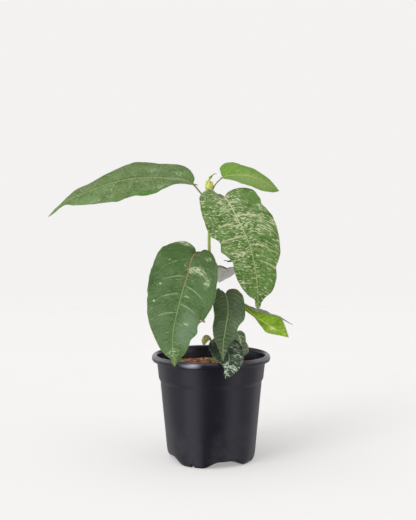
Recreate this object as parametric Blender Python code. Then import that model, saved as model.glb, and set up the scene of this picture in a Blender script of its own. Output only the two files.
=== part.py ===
"""Potted clown fig: a young variegated fig tree in a black nursery pot.

The model stands on z = 0 with its origin at the middle of the pot's base. +Z is up, +X is to the
right of the front view, and the front looks along +Y. Sizes below are in millimetres and become
metres when a mesh is made.
"""

import math
from dataclasses import dataclass

import bpy
import numpy as np

MM = 0.001
GAP = 0.3  # air left between two pieces that touch on the real plant

# Pot
POT_HEIGHT = 115.5
RIM_RADIUS = 65.0
CREST_RADIUS = 61.7  # top of the rolled rim
ROLL_DEPTH = 7.0  # height of the rolled rim, crest to lower edge
COLLAR_TOP = 59.5  # outer radii of the collar under the rim
COLLAR_LOW = 57.7
COLLAR_LOW_Z = 92.0
SHOULDER_RADIUS = 55.4  # outer radius where the collar steps in to the body
SHOULDER_Z = 83.0
BASE_RADIUS = 49.2  # outer radius of the body at the top of the rounded bottom edge
BASE_Z = 12.0
FOOT_RADIUS = 45.8  # where the rounded bottom edge meets the ground
WALL = 1.4
FLOOR = 1.6
SEGMENTS = 64
FIRST_FOOT = -115.0  # azimuth of the front left foot's middle, in degrees from +X
ARCH_HEIGHT = 6.4  # the four raised channels between the feet
PAD_RADIUS = 17.0  # flat middle of the floor, where the channels run out
CHANNEL_RADIUS = 31.0
NOTCH_HEIGHT = 2.4  # the small nick in the middle of each foot
DRAIN_RADIUS = 4.0
DRAIN_AT = 38.0

# Potting mix
SOIL_EDGE_Z = 101.0
SOIL_MOUND = 3.0
HOLE_DEPTH = 42.0

# Stem: from its foot in the mix to the growing tip, with its radius at each point
STEM_LINE = ((11, 0, 63), (11, 0, 84), (11, 0, 104), (8, 0, 136), (4, 0, 174), (0, 0, 202),
             (-2, 0, 229), (-2, 0, 262), (-2, 0, 278), (-1, 0, 292))
STEM_RADII = (2.4, 3.0, 3.1, 2.8, 2.4, 2.1, 1.7, 1.5, 1.4, 1.3)
STEM_SIDES = 10

# Growing tip: a lobed cluster of young sheaths and the rolled spike of the next leaf
BUD_LINE = ((-1, 0, 292.4), (-1.2, 0, 293.6), (-2.4, 0, 297), (-2.6, 0, 301.5), (-2.2, 0, 305),
            (-1.4, 0, 307.4), (0.6, 0, 309.4), (2.6, 0, 311), (4.6, 0, 312.4))
BUD_RADII = (1.4, 3.0, 4.6, 4.9, 3.0, 0.9, 1.5, 0.9, 0.5)
BUD_SIDES = 15
BUD_LOBES = 5

# Leaves
BLADE = 0.8  # thickness of a blade
JOIN = 10.0  # within this of its base a blade follows its stalk's bend only along the midrib
LOBE_REACH = 5.0  # how far to the side that bend is felt
VEIN_SWEEP = 1.5  # how late a row of the blade turns from the midrib's place to the margin's
RIB_RUN = 1.35  # how slowly the rows start along the midrib, so that they fan in the base lobes
TIP_END = 0.985  # the share of the outline where the last row closes the tip


@dataclass
class Leaf:
    """One leaf. right and left are the halves seen from base to tip with the upper side up."""

    node: float  # height at which the stalk leaves the stem
    stalk: tuple  # points of the stalk between the stem and the blade's base
    rib: tuple  # points along the midrib, from the blade's base to its tip
    face: tuple  # which way the upper side looks, spread evenly from base to tip
    fold: tuple  # how far the halves are lifted from flat, in degrees, spread in the same way
    right: tuple  # outline of the right half, as (across, along) from the base to the tip
    left: tuple
    wave: tuple = (1.5, 4.0, 0.0)  # waves of the margin: height, number, start
    stalk_radius: float = 0.9
    rows: int = 20
    across: tuple = (0.0, 0.09, 0.4, 0.72, 1.0)  # columns of one half, midrib to margin
    colour: tuple = (0.12, 0.25, 0.08)


SMALL_HALF = (0.0, 0.14, 0.55, 1.0)
DARK_GREEN = (0.08, 0.14, 0.07)
BRIGHT_GREEN = (0.22, 0.42, 0.06)

LEAVES = {
    "leaf_upper_left": Leaf(
        node=280,
        stalk=((-12, -3, 292),),
        rib=((-20, -5, 301), (-56, -12, 307), (-95, -20, 304), (-133, -24, 291), (-156, -24, 280),
             (-174, -22, 265)),
        face=((0, -0.36, 0.93), (0, -0.53, 0.85), (0, -0.5, 0.86), (0, -0.6, 0.8)),
        fold=(11, -2, -2, 0),
        right=((8, -1), (20, 2), (30, 8), (34, 15), (33, 28), (35, 42), (39, 53), (38, 63), (31, 73),
               (26, 84), (23, 95), (17, 112), (14, 128), (7, 139), (3, 147), (2.4, 157)),
        left=((9, -4), (17, 2), (20, 12), (20, 23), (28, 37), (35, 50), (36, 60), (32, 70), (33, 80),
              (37, 91), (34, 101), (24, 118), (13, 134), (4, 143), (2.6, 149), (2.4, 157)),
        wave=(1.0, 4.0, 0.1),
        rows=24,
    ),
    "leaf_upper_right": Leaf(
        node=287,
        stalk=((5, -1, 301),),
        rib=((13, -2, 308), (27, -8, 310), (41, -12, 309), (58, -14, 302), (73, -14, 293)),
        face=((0, -0.57, 0.82), (0, -0.52, 0.85), (0, -0.5, 0.86)),
        fold=(20, 6, 4),
        right=((6, -1), (14, 7), (20, 20), (23, 33), (20, 48), (11, 60)),
        left=((5, -3), (12, -7), (18, -4), (20, 6), (16, 23), (12, 41), (7, 55)),
        wave=(0.6, 3.0, 0.2),
        stalk_radius=0.7,
        across=SMALL_HALF,
        rows=16,
        colour=BRIGHT_GREEN,
    ),
    "leaf_large_right": Leaf(
        node=275,
        stalk=((3, -10, 285), (8, -18, 289)),
        rib=((14, -25, 286), (27, -39, 264), (40, -49, 235), (47, -51, 202), (49, -45, 169)),
        face=((0, -1, 0.35), (0.05, -1, 0.05), (0, -1, -0.1)),
        fold=(6, 4, 2),
        right=((3, -9), (11, -16), (22, -13), (30, 3), (34, 28), (33, 38), (28, 47), (30, 58),
               (22, 75), (22, 85), (15, 107), (8, 116), (3.5, 119), (2.5, 127)),
        left=((4, -2), (12, -2), (23, 3), (31, 20), (30, 28), (34, 42), (33, 54), (26, 81), (22, 87),
              (21, 95), (14, 112), (7, 118), (3.5, 123), (2.5, 127)),
        wave=(1.6, 6.0, 0.0),
        rows=26,
    ),
    "leaf_large_left": Leaf(
        node=213,
        stalk=((-6, -6, 221.5), (-11, -13, 226.8)),
        rib=((-16, -20, 227), (-25, -42, 204), (-34, -56, 173), (-40, -66, 137), (-37, -72, 113)),
        face=((0, -1, 0.55), (0, -1, 0.25), (0, -1, 0.1)),
        fold=(6, 4, 2),
        right=((4, -5), (13, -8), (26, 1), (36, 16), (38, 38), (34, 64), (27, 88), (22, 96),
               (16, 105), (12, 112), (7.5, 118), (3.2, 123), (2.4, 127)),
        left=((5, -4), (14, -4), (25, 8), (32, 32), (35, 54), (30, 74), (24, 84), (25, 92),
              (19, 103), (16.5, 112), (11.5, 119.5), (6, 123.5), (2.5, 126.5)),
        wave=(1.2, 5.0, 0.3),
        stalk_radius=1.1,
        rows=26,
    ),
    "leaf_back": Leaf(
        node=205,
        stalk=((9, 5, 211),),
        rib=((17, 12, 208), (14, 40, 201), (12, 68, 193), (10, 92, 186)),
        face=((0, 0.25, 1), (0, 0.25, 1), (0, 0.3, 1)),
        fold=(14, 8, 4),
        right=((6, -4), (14, -5), (22, 8), (22, 24), (16, 42), (8, 60), (3, 75)),
        left=((6, -4), (14, -5), (22, 8), (22, 24), (16, 42), (8, 60), (3, 75)),
        wave=(1.4, 3.5, 0.1),
        rows=18,
    ),
    "leaf_back_right": Leaf(
        node=256,
        stalk=((5, 3, 252), (17, 6, 236)),
        rib=((28, 8, 218), (40, 24, 216), (55, 42, 212), (66, 56, 207)),
        face=((-0.1, 0.1, 1), (-0.1, 0.1, 1), (0.1, 0.2, 1)),
        fold=(8, 4, 2),
        right=((5, -5), (12, -6), (18, 6), (20, 20), (15, 40), (6, 54)),
        left=((5, -5), (12, -6), (18, 6), (20, 20), (15, 40), (6, 54)),
        wave=(1.2, 3.0, 0.4),
        across=SMALL_HALF,
        rows=14,
    ),
    "leaf_dark_front": Leaf(
        node=178,
        stalk=((9, -6, 185),),
        rib=((15, -14, 182), (18, -28, 166), (15, -44, 149), (12, -61, 132), (12, -73, 119)),
        face=((0, -1, 0.9), (0, -1, 0.7), (0, -1, 0.6)),
        fold=(8, 4, 2),
        right=((3, -8), (8, -7), (12, -1), (16, 17), (14, 30), (13, 50), (8, 65), (4, 73), (2, 80)),
        left=((4, -4), (11, -3), (16, 4), (18, 17), (18, 30), (13, 42), (12, 55), (6, 68), (2, 80)),
        wave=(0.8, 5.0, 0.2),
        across=SMALL_HALF,
        rows=20,
        colour=DARK_GREEN,
    ),
    "leaf_over_rim": Leaf(
        node=122,
        stalk=((11, -5, 131),),
        rib=((13, -12, 133), (16, -34, 126), (18, -65, 118), (16, -71, 110), (14, -72, 101)),
        face=((0, -0.5, 0.9), (0, -0.5, 0.9), (0, -0.9, 0.5), (0, -1, 0)),
        fold=(0, -4, -6, 0),
        right=((6, -4), (13, 3), (18, 14), (17, 30), (13, 53), (9, 59), (3, 65), (2, 70)),
        left=((6, -4), (13, 6), (17, 20), (16, 35), (14, 55), (11, 63), (7, 69), (3, 73)),
        wave=(1.0, 4.0, 0.5),
        across=SMALL_HALF,
        rows=20,
        colour=DARK_GREEN,
    ),
    "leaf_in_pot_right": Leaf(
        node=118,
        stalk=((19, -1, 128),),
        rib=((27, -4, 137), (30, -9, 136), (32, -17, 129), (35, -25, 117)),
        face=((0, -0.8, 0.6), (0, -0.9, 0.4), (0, -1, 0.1)),
        fold=(2, 2),
        right=((3, -2), (5, 4), (5, 18), (4, 25), (2, 29)),
        left=((3, -2), (6, 3), (6, 16), (7, 23), (6, 28), (3, 31)),
        wave=(0.4, 2.0, 0.1),
        stalk_radius=0.7,
        across=SMALL_HALF,
        rows=10,
        colour=DARK_GREEN,
    ),
    "leaf_small_left": Leaf(
        node=120,
        stalk=((5, -3, 126),),
        rib=((0, -7, 131), (-4, -9, 133), (-7, -11, 131), (-8, -13, 126)),
        face=((0, -0.6, 0.8), (0, -0.8, 0.5)),
        fold=(6, 2),
        right=((2, -1), (4, 3), (3.5, 8), (2, 12)),
        left=((2, -1), (4, 3), (3.5, 8), (2, 12)),
        wave=(0.3, 2.0, 0.0),
        stalk_radius=0.6,
        across=SMALL_HALF,
        rows=8,
        colour=(0.2, 0.22, 0.07),
    ),
    "leaf_right_grey": Leaf(
        node=144,
        stalk=((20, 8, 159),),
        rib=((35, 17, 164.5), (47, 19, 160.5), (68, 22, 154.5), (80, 23, 150.5), (92, 21, 144)),
        face=((0.2, 0.27, 1), (0.3, 0.27, 1), (0.4, 0.22, 1)),
        fold=(4, 0, 0),
        right=((5, -4), (12, -5), (17, 6), (18, 22), (12, 40), (4, 52)),
        left=((5, -4), (12, -5), (17, 6), (18, 22), (12, 40), (4, 52)),
        wave=(0.8, 2.5, 0.2),
        across=SMALL_HALF,
        rows=14,
    ),
    "leaf_right_bright": Leaf(
        node=152,
        stalk=((21, -4, 165),),
        rib=((35, -8, 167), (47, -15, 159), (58, -24, 152), (70, -32, 146), (82, -36, 138)),
        face=((0.3, -0.6, 0.8), (0, -0.8, 0.6), (0, -0.8, 0.6)),
        fold=(10, 6, 2),
        right=((3, -2), (4, 6), (2.5, 17), (4.5, 25), (7, 33), (9.5, 40), (8, 46), (5, 52), (2.5, 57)),
        left=((3, -2), (4, 8), (7, 17), (10.5, 23), (10.5, 29), (14.5, 35), (14, 40), (11, 48),
              (7, 54), (3, 59)),
        wave=(0.6, 3.0, 0.3),
        across=SMALL_HALF,
        rows=16,
        colour=BRIGHT_GREEN,
    ),
}


def unit(vectors):
    """The same directions, one long."""
    vectors = np.asarray(vectors, float)
    return vectors / np.linalg.norm(vectors, axis=-1, keepdims=True)


def chord_knots(points):
    """How far each point lies along the line through them all."""
    steps = np.linalg.norm(np.diff(np.asarray(points, float), axis=0), axis=1)
    return np.concatenate(([0.0], np.cumsum(steps)))


def smooth(points, knots, at):
    """A smooth curve through the points, read at the places `at`: cubic pieces that meet with the
    slope which each point's two neighbours give."""
    points = np.asarray(points, float)
    slope = np.gradient(points, knots, axis=0)
    i = np.clip(np.searchsorted(knots, at, side="right") - 1, 0, len(points) - 2)
    gap = (knots[i + 1] - knots[i])[..., None]
    u = np.clip((at - knots[i])[..., None] / gap, 0, 1)
    start = (1 + 2 * u) * (1 - u) ** 2 * points[i] + u * (1 - u) ** 2 * gap * slope[i]
    return start + u * u * (3 - 2 * u) * points[i + 1] + u * u * (u - 1) * gap * slope[i + 1]


def spread(values, share):
    """Values spaced evenly from 0 to 1, read smoothly at each share."""
    return smooth(values, np.linspace(0, 1, len(values)), share)


def add_object(name, points, faces, colour, roughness):
    """A named object with its own material, from points in millimetres."""
    mesh = bpy.data.meshes.new(name)
    mesh.from_pydata((np.asarray(points) * MM).tolist(), [], faces)
    mesh.update()
    piece = bpy.data.objects.new(name, mesh)
    bpy.context.scene.collection.objects.link(piece)
    mesh.shade_smooth()
    mesh.set_sharp_from_angle(angle=math.radians(40))
    material = bpy.data.materials.new(name)
    material.use_nodes = True
    shader = material.node_tree.nodes["Principled BSDF"]
    shader.inputs["Base Color"].default_value = (*colour, 1)
    shader.inputs["Roughness"].default_value = roughness
    shader.inputs["Metallic"].default_value = 0.0
    mesh.materials.append(material)
    return piece


def ring_faces(rings, sides):
    """Faces of a closed stack of rings, in order from one end cap over the outside to the other.
    The rings turn anticlockwise seen from the last one."""
    faces = [tuple(reversed(range(sides)))]
    for ring in range(rings - 1):
        low, high = ring * sides, (ring + 1) * sides
        for i in range(sides):
            j = (i + 1) % sides
            faces.append((low + i, low + j, high + j, high + i))
    last = (rings - 1) * sides
    faces.append(tuple(last + i for i in range(sides)))
    return faces


def tube(line, radii, sides, lobes=0):
    """Points of a tube along a line in the XZ plane. With lobes, the girth swells and draws in that
    many times round where the tube is fat."""
    line = np.asarray(line, float)
    along = unit(np.gradient(line, axis=0))
    back = np.array([0.0, 1.0, 0.0])
    side = np.cross(back, along)
    angle = np.arange(sides) * 2 * math.pi / sides
    radii = np.asarray(radii, float)[:, None]
    if lobes:
        radii = radii * (1 + 0.16 * np.clip(radii - 2, 0, 1) * np.cos(lobes * angle))
    across = np.cos(angle) * radii
    behind = np.sin(angle) * radii
    return line[:, None] + across[..., None] * side[:, None] + behind[..., None] * back


def foot_lift(azimuth):
    """Height of the floor over the ground, by azimuth: 0 on a foot, the full arch in a channel, and
    a small nick in the middle of each foot."""
    turn = (azimuth - FIRST_FOOT) % 90
    from_foot = min(turn, 90 - turn)
    if from_foot < 1:
        return NOTCH_HEIGHT
    slope = (from_foot - 20) / 8
    return ARCH_HEIGHT * min(max(slope, 0), 1)


def pot_profile():
    """(radius, height, share of the foot's lift) from the floor's underside, out and up the wall,
    over the rolled rim and down the inside to the floor."""
    low = POT_HEIGHT - ROLL_DEPTH
    inner_base = BASE_RADIUS - WALL
    return (
        (PAD_RADIUS, 0, 0), (CHANNEL_RADIUS, 0, 1), (FOOT_RADIUS, 0, 1), (47.3, 2.0, 0.85),
        (48.5, 6.2, 0.5), (BASE_RADIUS, BASE_Z, 0),
        (SHOULDER_RADIUS, SHOULDER_Z, 0), (56.1, SHOULDER_Z + 3.2, 0),
        (57.3, COLLAR_LOW_Z - 2.4, 0), (COLLAR_LOW, COLLAR_LOW_Z, 0), (COLLAR_TOP, low - 1.2, 0),
        (60.3, low, 0), (63.8, low, 0), (RIM_RADIUS - 0.2, low + 1.4, 0),
        (RIM_RADIUS, low + 3.0, 0), (64.3, POT_HEIGHT - 1.7, 0), (63.1, POT_HEIGHT - 0.4, 0),
        (CREST_RADIUS, POT_HEIGHT, 0), (60.2, POT_HEIGHT - 0.6, 0), (59.2, POT_HEIGHT - 2.6, 0),
        (COLLAR_TOP - WALL, low - 2.0, 0), (COLLAR_LOW - WALL, COLLAR_LOW_Z, 0),
        (SHOULDER_RADIUS - WALL, SHOULDER_Z, 0), (inner_base, BASE_Z, 0.1),
        (46.4, 5.0, 0.6), (44.6, FLOOR, 1), (CHANNEL_RADIUS, FLOOR, 1), (PAD_RADIUS, FLOOR, 0),
    )


def lifted_rings(profile, centres=None):
    """Points of a turned shape whose foot rises and falls round the ground. A profile point is
    (radius, height, share of the foot's lift), and its ring is round its own centre."""
    rows = []
    for k, (radius, height, share) in enumerate(profile):
        centre = centres[k] if centres else 0.0
        for i in range(SEGMENTS):
            azimuth = FIRST_FOOT + i * 360 / SEGMENTS
            turn = math.radians(azimuth)
            lift = foot_lift(azimuth) * share
            rows.append((centre + radius * math.cos(turn), radius * math.sin(turn), height + lift))
    return rows


def make_pot():
    """Thin-walled nursery pot, with a drain hole through each raised channel of its floor."""
    profile = pot_profile()
    faces = ring_faces(len(profile), SEGMENTS)
    pot = add_object("pot", lifted_rings(profile), faces, (0.02, 0.02, 0.022), 0.4)
    for channel in range(4):
        turn = math.radians(FIRST_FOOT + 45 + 90 * channel)
        at = (DRAIN_AT * math.cos(turn) * MM, DRAIN_AT * math.sin(turn) * MM, ARCH_HEIGHT * MM)
        bpy.ops.mesh.primitive_cylinder_add(vertices=12, radius=DRAIN_RADIUS * MM, depth=12 * MM,
                                            location=at)
        cutter = bpy.context.object
        cutter.name = f"drain_cutter_{channel}"
        cutter.display_type = "WIRE"
        cutter.hide_render = True
        cut = pot.modifiers.new(f"drain_{channel}", "BOOLEAN")
        cut.object = cutter
        cut.operation = "DIFFERENCE"


def make_soil():
    """Potting mix that fills the pot, domed and lumpy on top, with a plain hole for the stem."""
    stem_x = STEM_LINE[0][0]
    hole = max(STEM_RADII[:4]) + GAP
    inside = WALL + GAP + 0.1
    top = SOIL_EDGE_Z + SOIL_MOUND
    profile = [
        (PAD_RADIUS - 1, FLOOR + 1.6, 0), (CHANNEL_RADIUS - 1, FLOOR + 2.2, 1),
        (43.0, FLOOR + 1.6, 1), (44.6, 6.8, 0.6), (BASE_RADIUS - inside - 0.4, BASE_Z + 1, 0.1),
        (SHOULDER_RADIUS - inside, SHOULDER_Z, 0), (COLLAR_LOW - inside, COLLAR_LOW_Z, 0),
        (COLLAR_LOW - inside + 1.0, SOIL_EDGE_Z - 0.5, 0), (53, SOIL_EDGE_Z + 0.3, 0),
        (40, SOIL_EDGE_Z + 1.2, 0), (25, SOIL_EDGE_Z + 2.2, 0), (11, top - 0.2, 0),
        (hole, top, 0), (hole, top - HOLE_DEPTH, 0),
    ]
    centres = [0.0] * 8 + [stem_x * share for share in (0.1, 0.35, 0.65, 0.9, 1, 1)]
    points = np.array(lifted_rings(profile, centres)).reshape(len(profile), SEGMENTS, 3)
    lumps = np.sin(points[..., 0] * 0.31 + 1.0) * np.sin(points[..., 1] * 0.27 + 0.4)
    lumps += 0.6 * np.sin(points[..., 0] * 0.62 - points[..., 1] * 0.55)
    points[8:12, :, 2] += 0.8 * lumps[8:12]
    faces = ring_faces(len(profile), SEGMENTS)
    add_object("soil", points.reshape(-1, 3), faces, (0.09, 0.05, 0.035), 0.95)


def make_stem():
    points = tube(STEM_LINE, STEM_RADII, STEM_SIDES).reshape(-1, 3)
    add_object("stem", points, ring_faces(len(STEM_LINE), STEM_SIDES), (0.4, 0.5, 0.2), 0.5)


def make_bud():
    points = tube(BUD_LINE, BUD_RADII, BUD_SIDES, BUD_LOBES).reshape(-1, 3)
    add_object("tip_bud", points, ring_faces(len(BUD_LINE), BUD_SIDES), (0.6, 0.7, 0.2), 0.45)


def stalk_start(leaf):
    """Point just off the stem's side where a leaf's stalk begins."""
    heights = [z for x, y, z in STEM_LINE]
    stem = np.array([np.interp(leaf.node, heights, axis) for axis in zip(*STEM_LINE)])
    reach = np.interp(leaf.node, heights, STEM_RADII) + GAP
    away = unit(np.array(leaf.stalk[0]) - stem)
    level = unit(away * (1, 1, 0))
    return tuple(stem + level * (reach + leaf.stalk_radius * abs(away[2])))


class Blade:
    """The shape of one leaf, as a surface over flat places on it: x across, y along the midrib."""

    def __init__(self, leaf):
        self.leaf = leaf
        self.line = (stalk_start(leaf),) + leaf.stalk + leaf.rib
        knots = chord_knots(self.line)
        self.knots = knots - knots[1 + len(leaf.stalk)]
        self.length = self.knots[-1]
        self.half = max(x for x, y in leaf.right + leaf.left)

    def frame(self, y):
        """Point of the midrib at y, and the unit vectors along it, out of the upper side, and to
        the right. Below 0 this is the stalk."""
        low, high = self.knots[0], self.knots[-1]
        point = smooth(self.line, self.knots, np.clip(y, low, high))
        ahead = smooth(self.line, self.knots, np.clip(y + 0.5, low, high))
        behind = smooth(self.line, self.knots, np.clip(y - 0.5, low, high))
        along = unit(ahead - behind)
        face = spread(self.leaf.face, np.clip(y / self.length, 0, 1))
        face = unit(face - along * (face * along).sum(-1, keepdims=True))
        return point, along, face, np.cross(along, face)

    def surface(self, x, y):
        """Points of the blade. Each half leans up from the midrib by the fold, and its margin
        waves. Near the base the blade runs on straight behind its stalk's bend, so that the base
        lobes stay in the blade's own plane."""
        point, along, face, side = self.frame(np.maximum(y, 0))
        point = point + along * np.minimum(y, 0)[..., None]
        ahead = np.maximum(y, JOIN)
        far_point, far_along, far_face, far_side = self.frame(ahead)
        far_point = far_point + far_along * (y - ahead)[..., None]
        near = np.exp(-((x / LOBE_REACH) ** 2))[..., None]
        point = near * point + (1 - near) * far_point
        face = unit(near * face + (1 - near) * far_face)
        side = unit(near * side + (1 - near) * far_side)
        share = np.clip(y / self.length, 0, 1)
        fold = np.radians(spread(np.array(self.leaf.fold, float)[:, None], share)[..., 0])
        height, number, start = self.leaf.wave
        phase = 2 * math.pi * (number * share + start + 0.25 * np.sign(x))
        lift = np.abs(x) * np.sin(fold) + height * (np.abs(x) / self.half) ** 2 * np.sin(phase)
        return point + side * (x * np.cos(fold))[..., None] + face * lift[..., None]

    def half_rows(self, outline, shares):
        """Flat places of one half: each row leaves the midrib and sweeps forward to the margin, as
        the side veins do."""
        margin = ((self.leaf.stalk_radius, 0.0),) + outline + ((0.0, self.length),)
        knots = chord_knots(margin)
        edge = smooth(margin, knots, shares * knots[-1])
        root = self.length * shares ** RIB_RUN
        across = np.array(self.leaf.across)
        x = edge[:, :1] * across
        y = root[:, None] + (edge[:, 1:] - root[:, None]) * across ** VEIN_SWEEP
        return x, y

    def middle(self):
        """Grid of points half way through the leaf, from the stalk's end over the blade to its
        tip, with the half thickness above and below each."""
        radius = self.leaf.stalk_radius
        shares = np.linspace(0, TIP_END, self.leaf.rows + 1)[1:]
        right_x, right_y = self.half_rows(self.leaf.right, shares)
        left_x, left_y = self.half_rows(self.leaf.left, shares)
        x = np.hstack((-left_x[:, :0:-1], right_x))
        y = np.hstack((left_y[:, :0:-1], right_y))
        blade = self.surface(x, y)
        half_blade = BLADE / 2 * (1 - 0.25 * np.abs(self.columns()) ** 2) + 0 * y
        rib = radius * (1 - shares[:, None]) * np.exp(-((x / radius) ** 2))

        steps = max(3, int(-self.knots[0] / 6))
        ring_y = np.linspace(self.knots[0], 0, steps + 1)
        point, _, face, side = self.frame(ring_y)
        turn = self.columns() * math.radians(72)
        stalk = point[:, None] + side[:, None] * (radius * np.sin(turn))[None, :, None]
        half_stalk = radius * np.cos(turn) + 0 * ring_y[:, None]
        points = np.vstack((stalk, blade))
        above = np.vstack((half_stalk, half_blade + 0.3 * rib))
        below = np.vstack((half_stalk, half_blade + rib))
        return points, above, below

    def columns(self):
        across = np.array(self.leaf.across)
        return np.concatenate((-across[:0:-1], across))

    def solid(self):
        """Points and faces of the closed leaf: the upper and lower skin with walls all round."""
        middle, above, below = self.middle()
        rows, columns = middle.shape[:2]
        down = np.gradient(middle, axis=0)
        across = np.gradient(middle, axis=1)
        out = unit(np.cross(down, across))
        upper = middle + out * above[..., None]
        lower = middle - out * below[..., None]
        points = np.vstack((upper.reshape(-1, 3), lower.reshape(-1, 3)))
        count = rows * columns
        faces = []
        for r in range(rows - 1):
            for c in range(columns - 1):
                a = r * columns + c
                b, d = a + 1, a + columns
                e = d + 1
                split = ((a, d, e), (a, e, b)) if c < columns // 2 else ((a, d, b), (b, d, e))
                faces += split
                faces += [(k + count, j + count, i + count) for i, j, k in split]
        right = [r * columns + columns - 1 for r in range(rows)]
        left = [r * columns for r in range(rows)]
        start = list(range(columns))
        end = [count - columns + c for c in range(columns)]
        round_edge = left[:-1] + end[:-1] + right[:0:-1] + start[:0:-1]
        for i, a in enumerate(round_edge):
            b = round_edge[(i + 1) % len(round_edge)]
            faces.append((b, a, a + count, b + count))
        return points, faces


def make_leaf(name, leaf):
    points, faces = Blade(leaf).solid()
    add_object(name, points, faces, leaf.colour, 0.45)


def main():
    for old in list(bpy.data.objects):
        bpy.data.objects.remove(old)
    make_pot()
    make_soil()
    make_stem()
    make_bud()
    for name, leaf in LEAVES.items():
        make_leaf(name, leaf)


main()
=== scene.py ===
# %% [markdown]
# # Potted clown fig
#
# A young clown fig is a thin green stem with large, rough, cream-flecked leaves on long stalks. It
# grows in a black nursery pot, about 13 cm across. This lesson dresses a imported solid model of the
# plant: each solid is swapped for a finer surface of the same form, and each surface gets a finish
# made of nodes.
#
# Nearly everything here is a surface worked out with numpy: a grid of points given by two numbers,
# how far along and how far across. That way was chosen over sculpting because a leaf, a stem and a
# pot are each one short formula, and a formula can be read, measured and changed.

# %% Tools and the fixed frame
import math
from dataclasses import dataclass

import bpy
import numpy as np
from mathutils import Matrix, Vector


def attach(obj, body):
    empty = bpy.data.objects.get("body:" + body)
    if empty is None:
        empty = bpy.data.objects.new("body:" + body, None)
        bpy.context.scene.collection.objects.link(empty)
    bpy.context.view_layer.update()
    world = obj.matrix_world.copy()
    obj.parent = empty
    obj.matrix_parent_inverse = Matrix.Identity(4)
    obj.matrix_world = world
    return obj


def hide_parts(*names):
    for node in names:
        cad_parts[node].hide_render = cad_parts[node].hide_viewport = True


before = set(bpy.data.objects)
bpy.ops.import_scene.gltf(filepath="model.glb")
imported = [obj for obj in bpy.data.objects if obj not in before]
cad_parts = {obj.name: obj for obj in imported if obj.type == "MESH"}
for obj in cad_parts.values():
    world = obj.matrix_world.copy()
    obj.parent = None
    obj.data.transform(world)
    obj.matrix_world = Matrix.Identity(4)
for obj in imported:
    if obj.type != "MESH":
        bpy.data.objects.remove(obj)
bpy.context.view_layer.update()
MM = 0.001  # the formulas below work in millimetres
print("solids:", ", ".join(sorted(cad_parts)))

# %% [markdown]
# ## Camera
#
# The picture was taken from just under a metre away, a little above the leaves' middle, looking
# down by three degrees. Distance matters more than zoom: from nearer, the pot's rim would open into
# a wider ellipse. So the place was settled first, and the lens length then sets the size.

# %% Camera
EYE = (-0.0034, -0.950, 0.270)  # where the camera stands, in metres
LOOK_DOWN = 3.12  # degrees below level
LENS, SENSOR = 60.27, 36  # in millimetres

camera = bpy.data.objects.new("camera", bpy.data.cameras.new("camera"))
bpy.context.scene.collection.objects.link(camera)
camera.data.lens = LENS
camera.data.sensor_width = SENSOR
camera.location = EYE
camera.rotation_euler = (math.radians(90 - LOOK_DOWN), 0, 0)
bpy.context.scene.camera = camera
bpy.context.scene.view_settings.view_transform = "Standard"
print(f"camera: {LENS} mm lens, {-EYE[1]} m in front, {LOOK_DOWN} degrees down")

# %% [markdown]
# ## Colours
#
# Screen colours are written as three numbers up to 255, but light adds up on a straight scale, so
# each is converted once, here.


# %% Colour helper
def shade(red, green, blue):
    """A screen colour on the straight scale: each channel c becomes ((c + 0.055) / 1.055) ** 2.4."""
    screen = np.array((red, green, blue)) / 255
    straight = np.where(screen > 0.04045, ((screen + 0.055) / 1.055) ** 2.4, screen / 12.92)
    return (*straight.tolist(), 1.0)


# %% [markdown]
# ## Shader sums as Python
#
# A material's pattern is arithmetic on numbers that change over the surface. Dragging a Math node
# for each sum is slow to build and to read. The small class below wraps a node's output, so that
# `1 - mask * 0.5` adds the nodes by itself. Colours never go through Math nodes, which would turn
# them grey: they go through Mix.


# %% Wires
class Wire:
    """An output in a material's node tree. Sums on it add Math nodes."""

    def __init__(self, finish, socket):
        self.finish = finish
        self.socket = socket

    def math(self, operation, *values):
        """One sum on wires or numbers, as a Math node."""
        return self.finish.node("ShaderNodeMath", {"operation": operation}, dict(enumerate(values)))

    def __add__(self, other):
        return self.math("ADD", self, other)

    def __sub__(self, other):
        return self.math("SUBTRACT", self, other)

    def __rsub__(self, other):
        return self.math("SUBTRACT", other, self)

    def __mul__(self, other):
        return self.math("MULTIPLY", self, other)

    def __truediv__(self, other):
        return self.math("DIVIDE", self, other)

    def __pow__(self, other):
        return self.math("POWER", self, other)

    __radd__ = __add__
    __rmul__ = __mul__

    def __abs__(self):
        return self.math("ABSOLUTE", self)

    def fraction(self):
        """What is left over the whole number below."""
        return self.math("FRACT", self)

    def most(self, other):
        """The larger of two."""
        return self.math("MAXIMUM", self, other)

    def step(self, low, high):
        """0 below low, 1 above high and a smooth rise between. With low over high it falls."""
        settings = {"interpolation_type": "SMOOTHSTEP"}
        if low < high:
            limits = {"From Min": low, "From Max": high}
            return self.finish.node("ShaderNodeMapRange", settings, {"Value": self, **limits})
        limits = {"From Min": high, "From Max": low, "To Min": 1.0, "To Max": 0.0}
        return self.finish.node("ShaderNodeMapRange", settings, {"Value": self, **limits})


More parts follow.
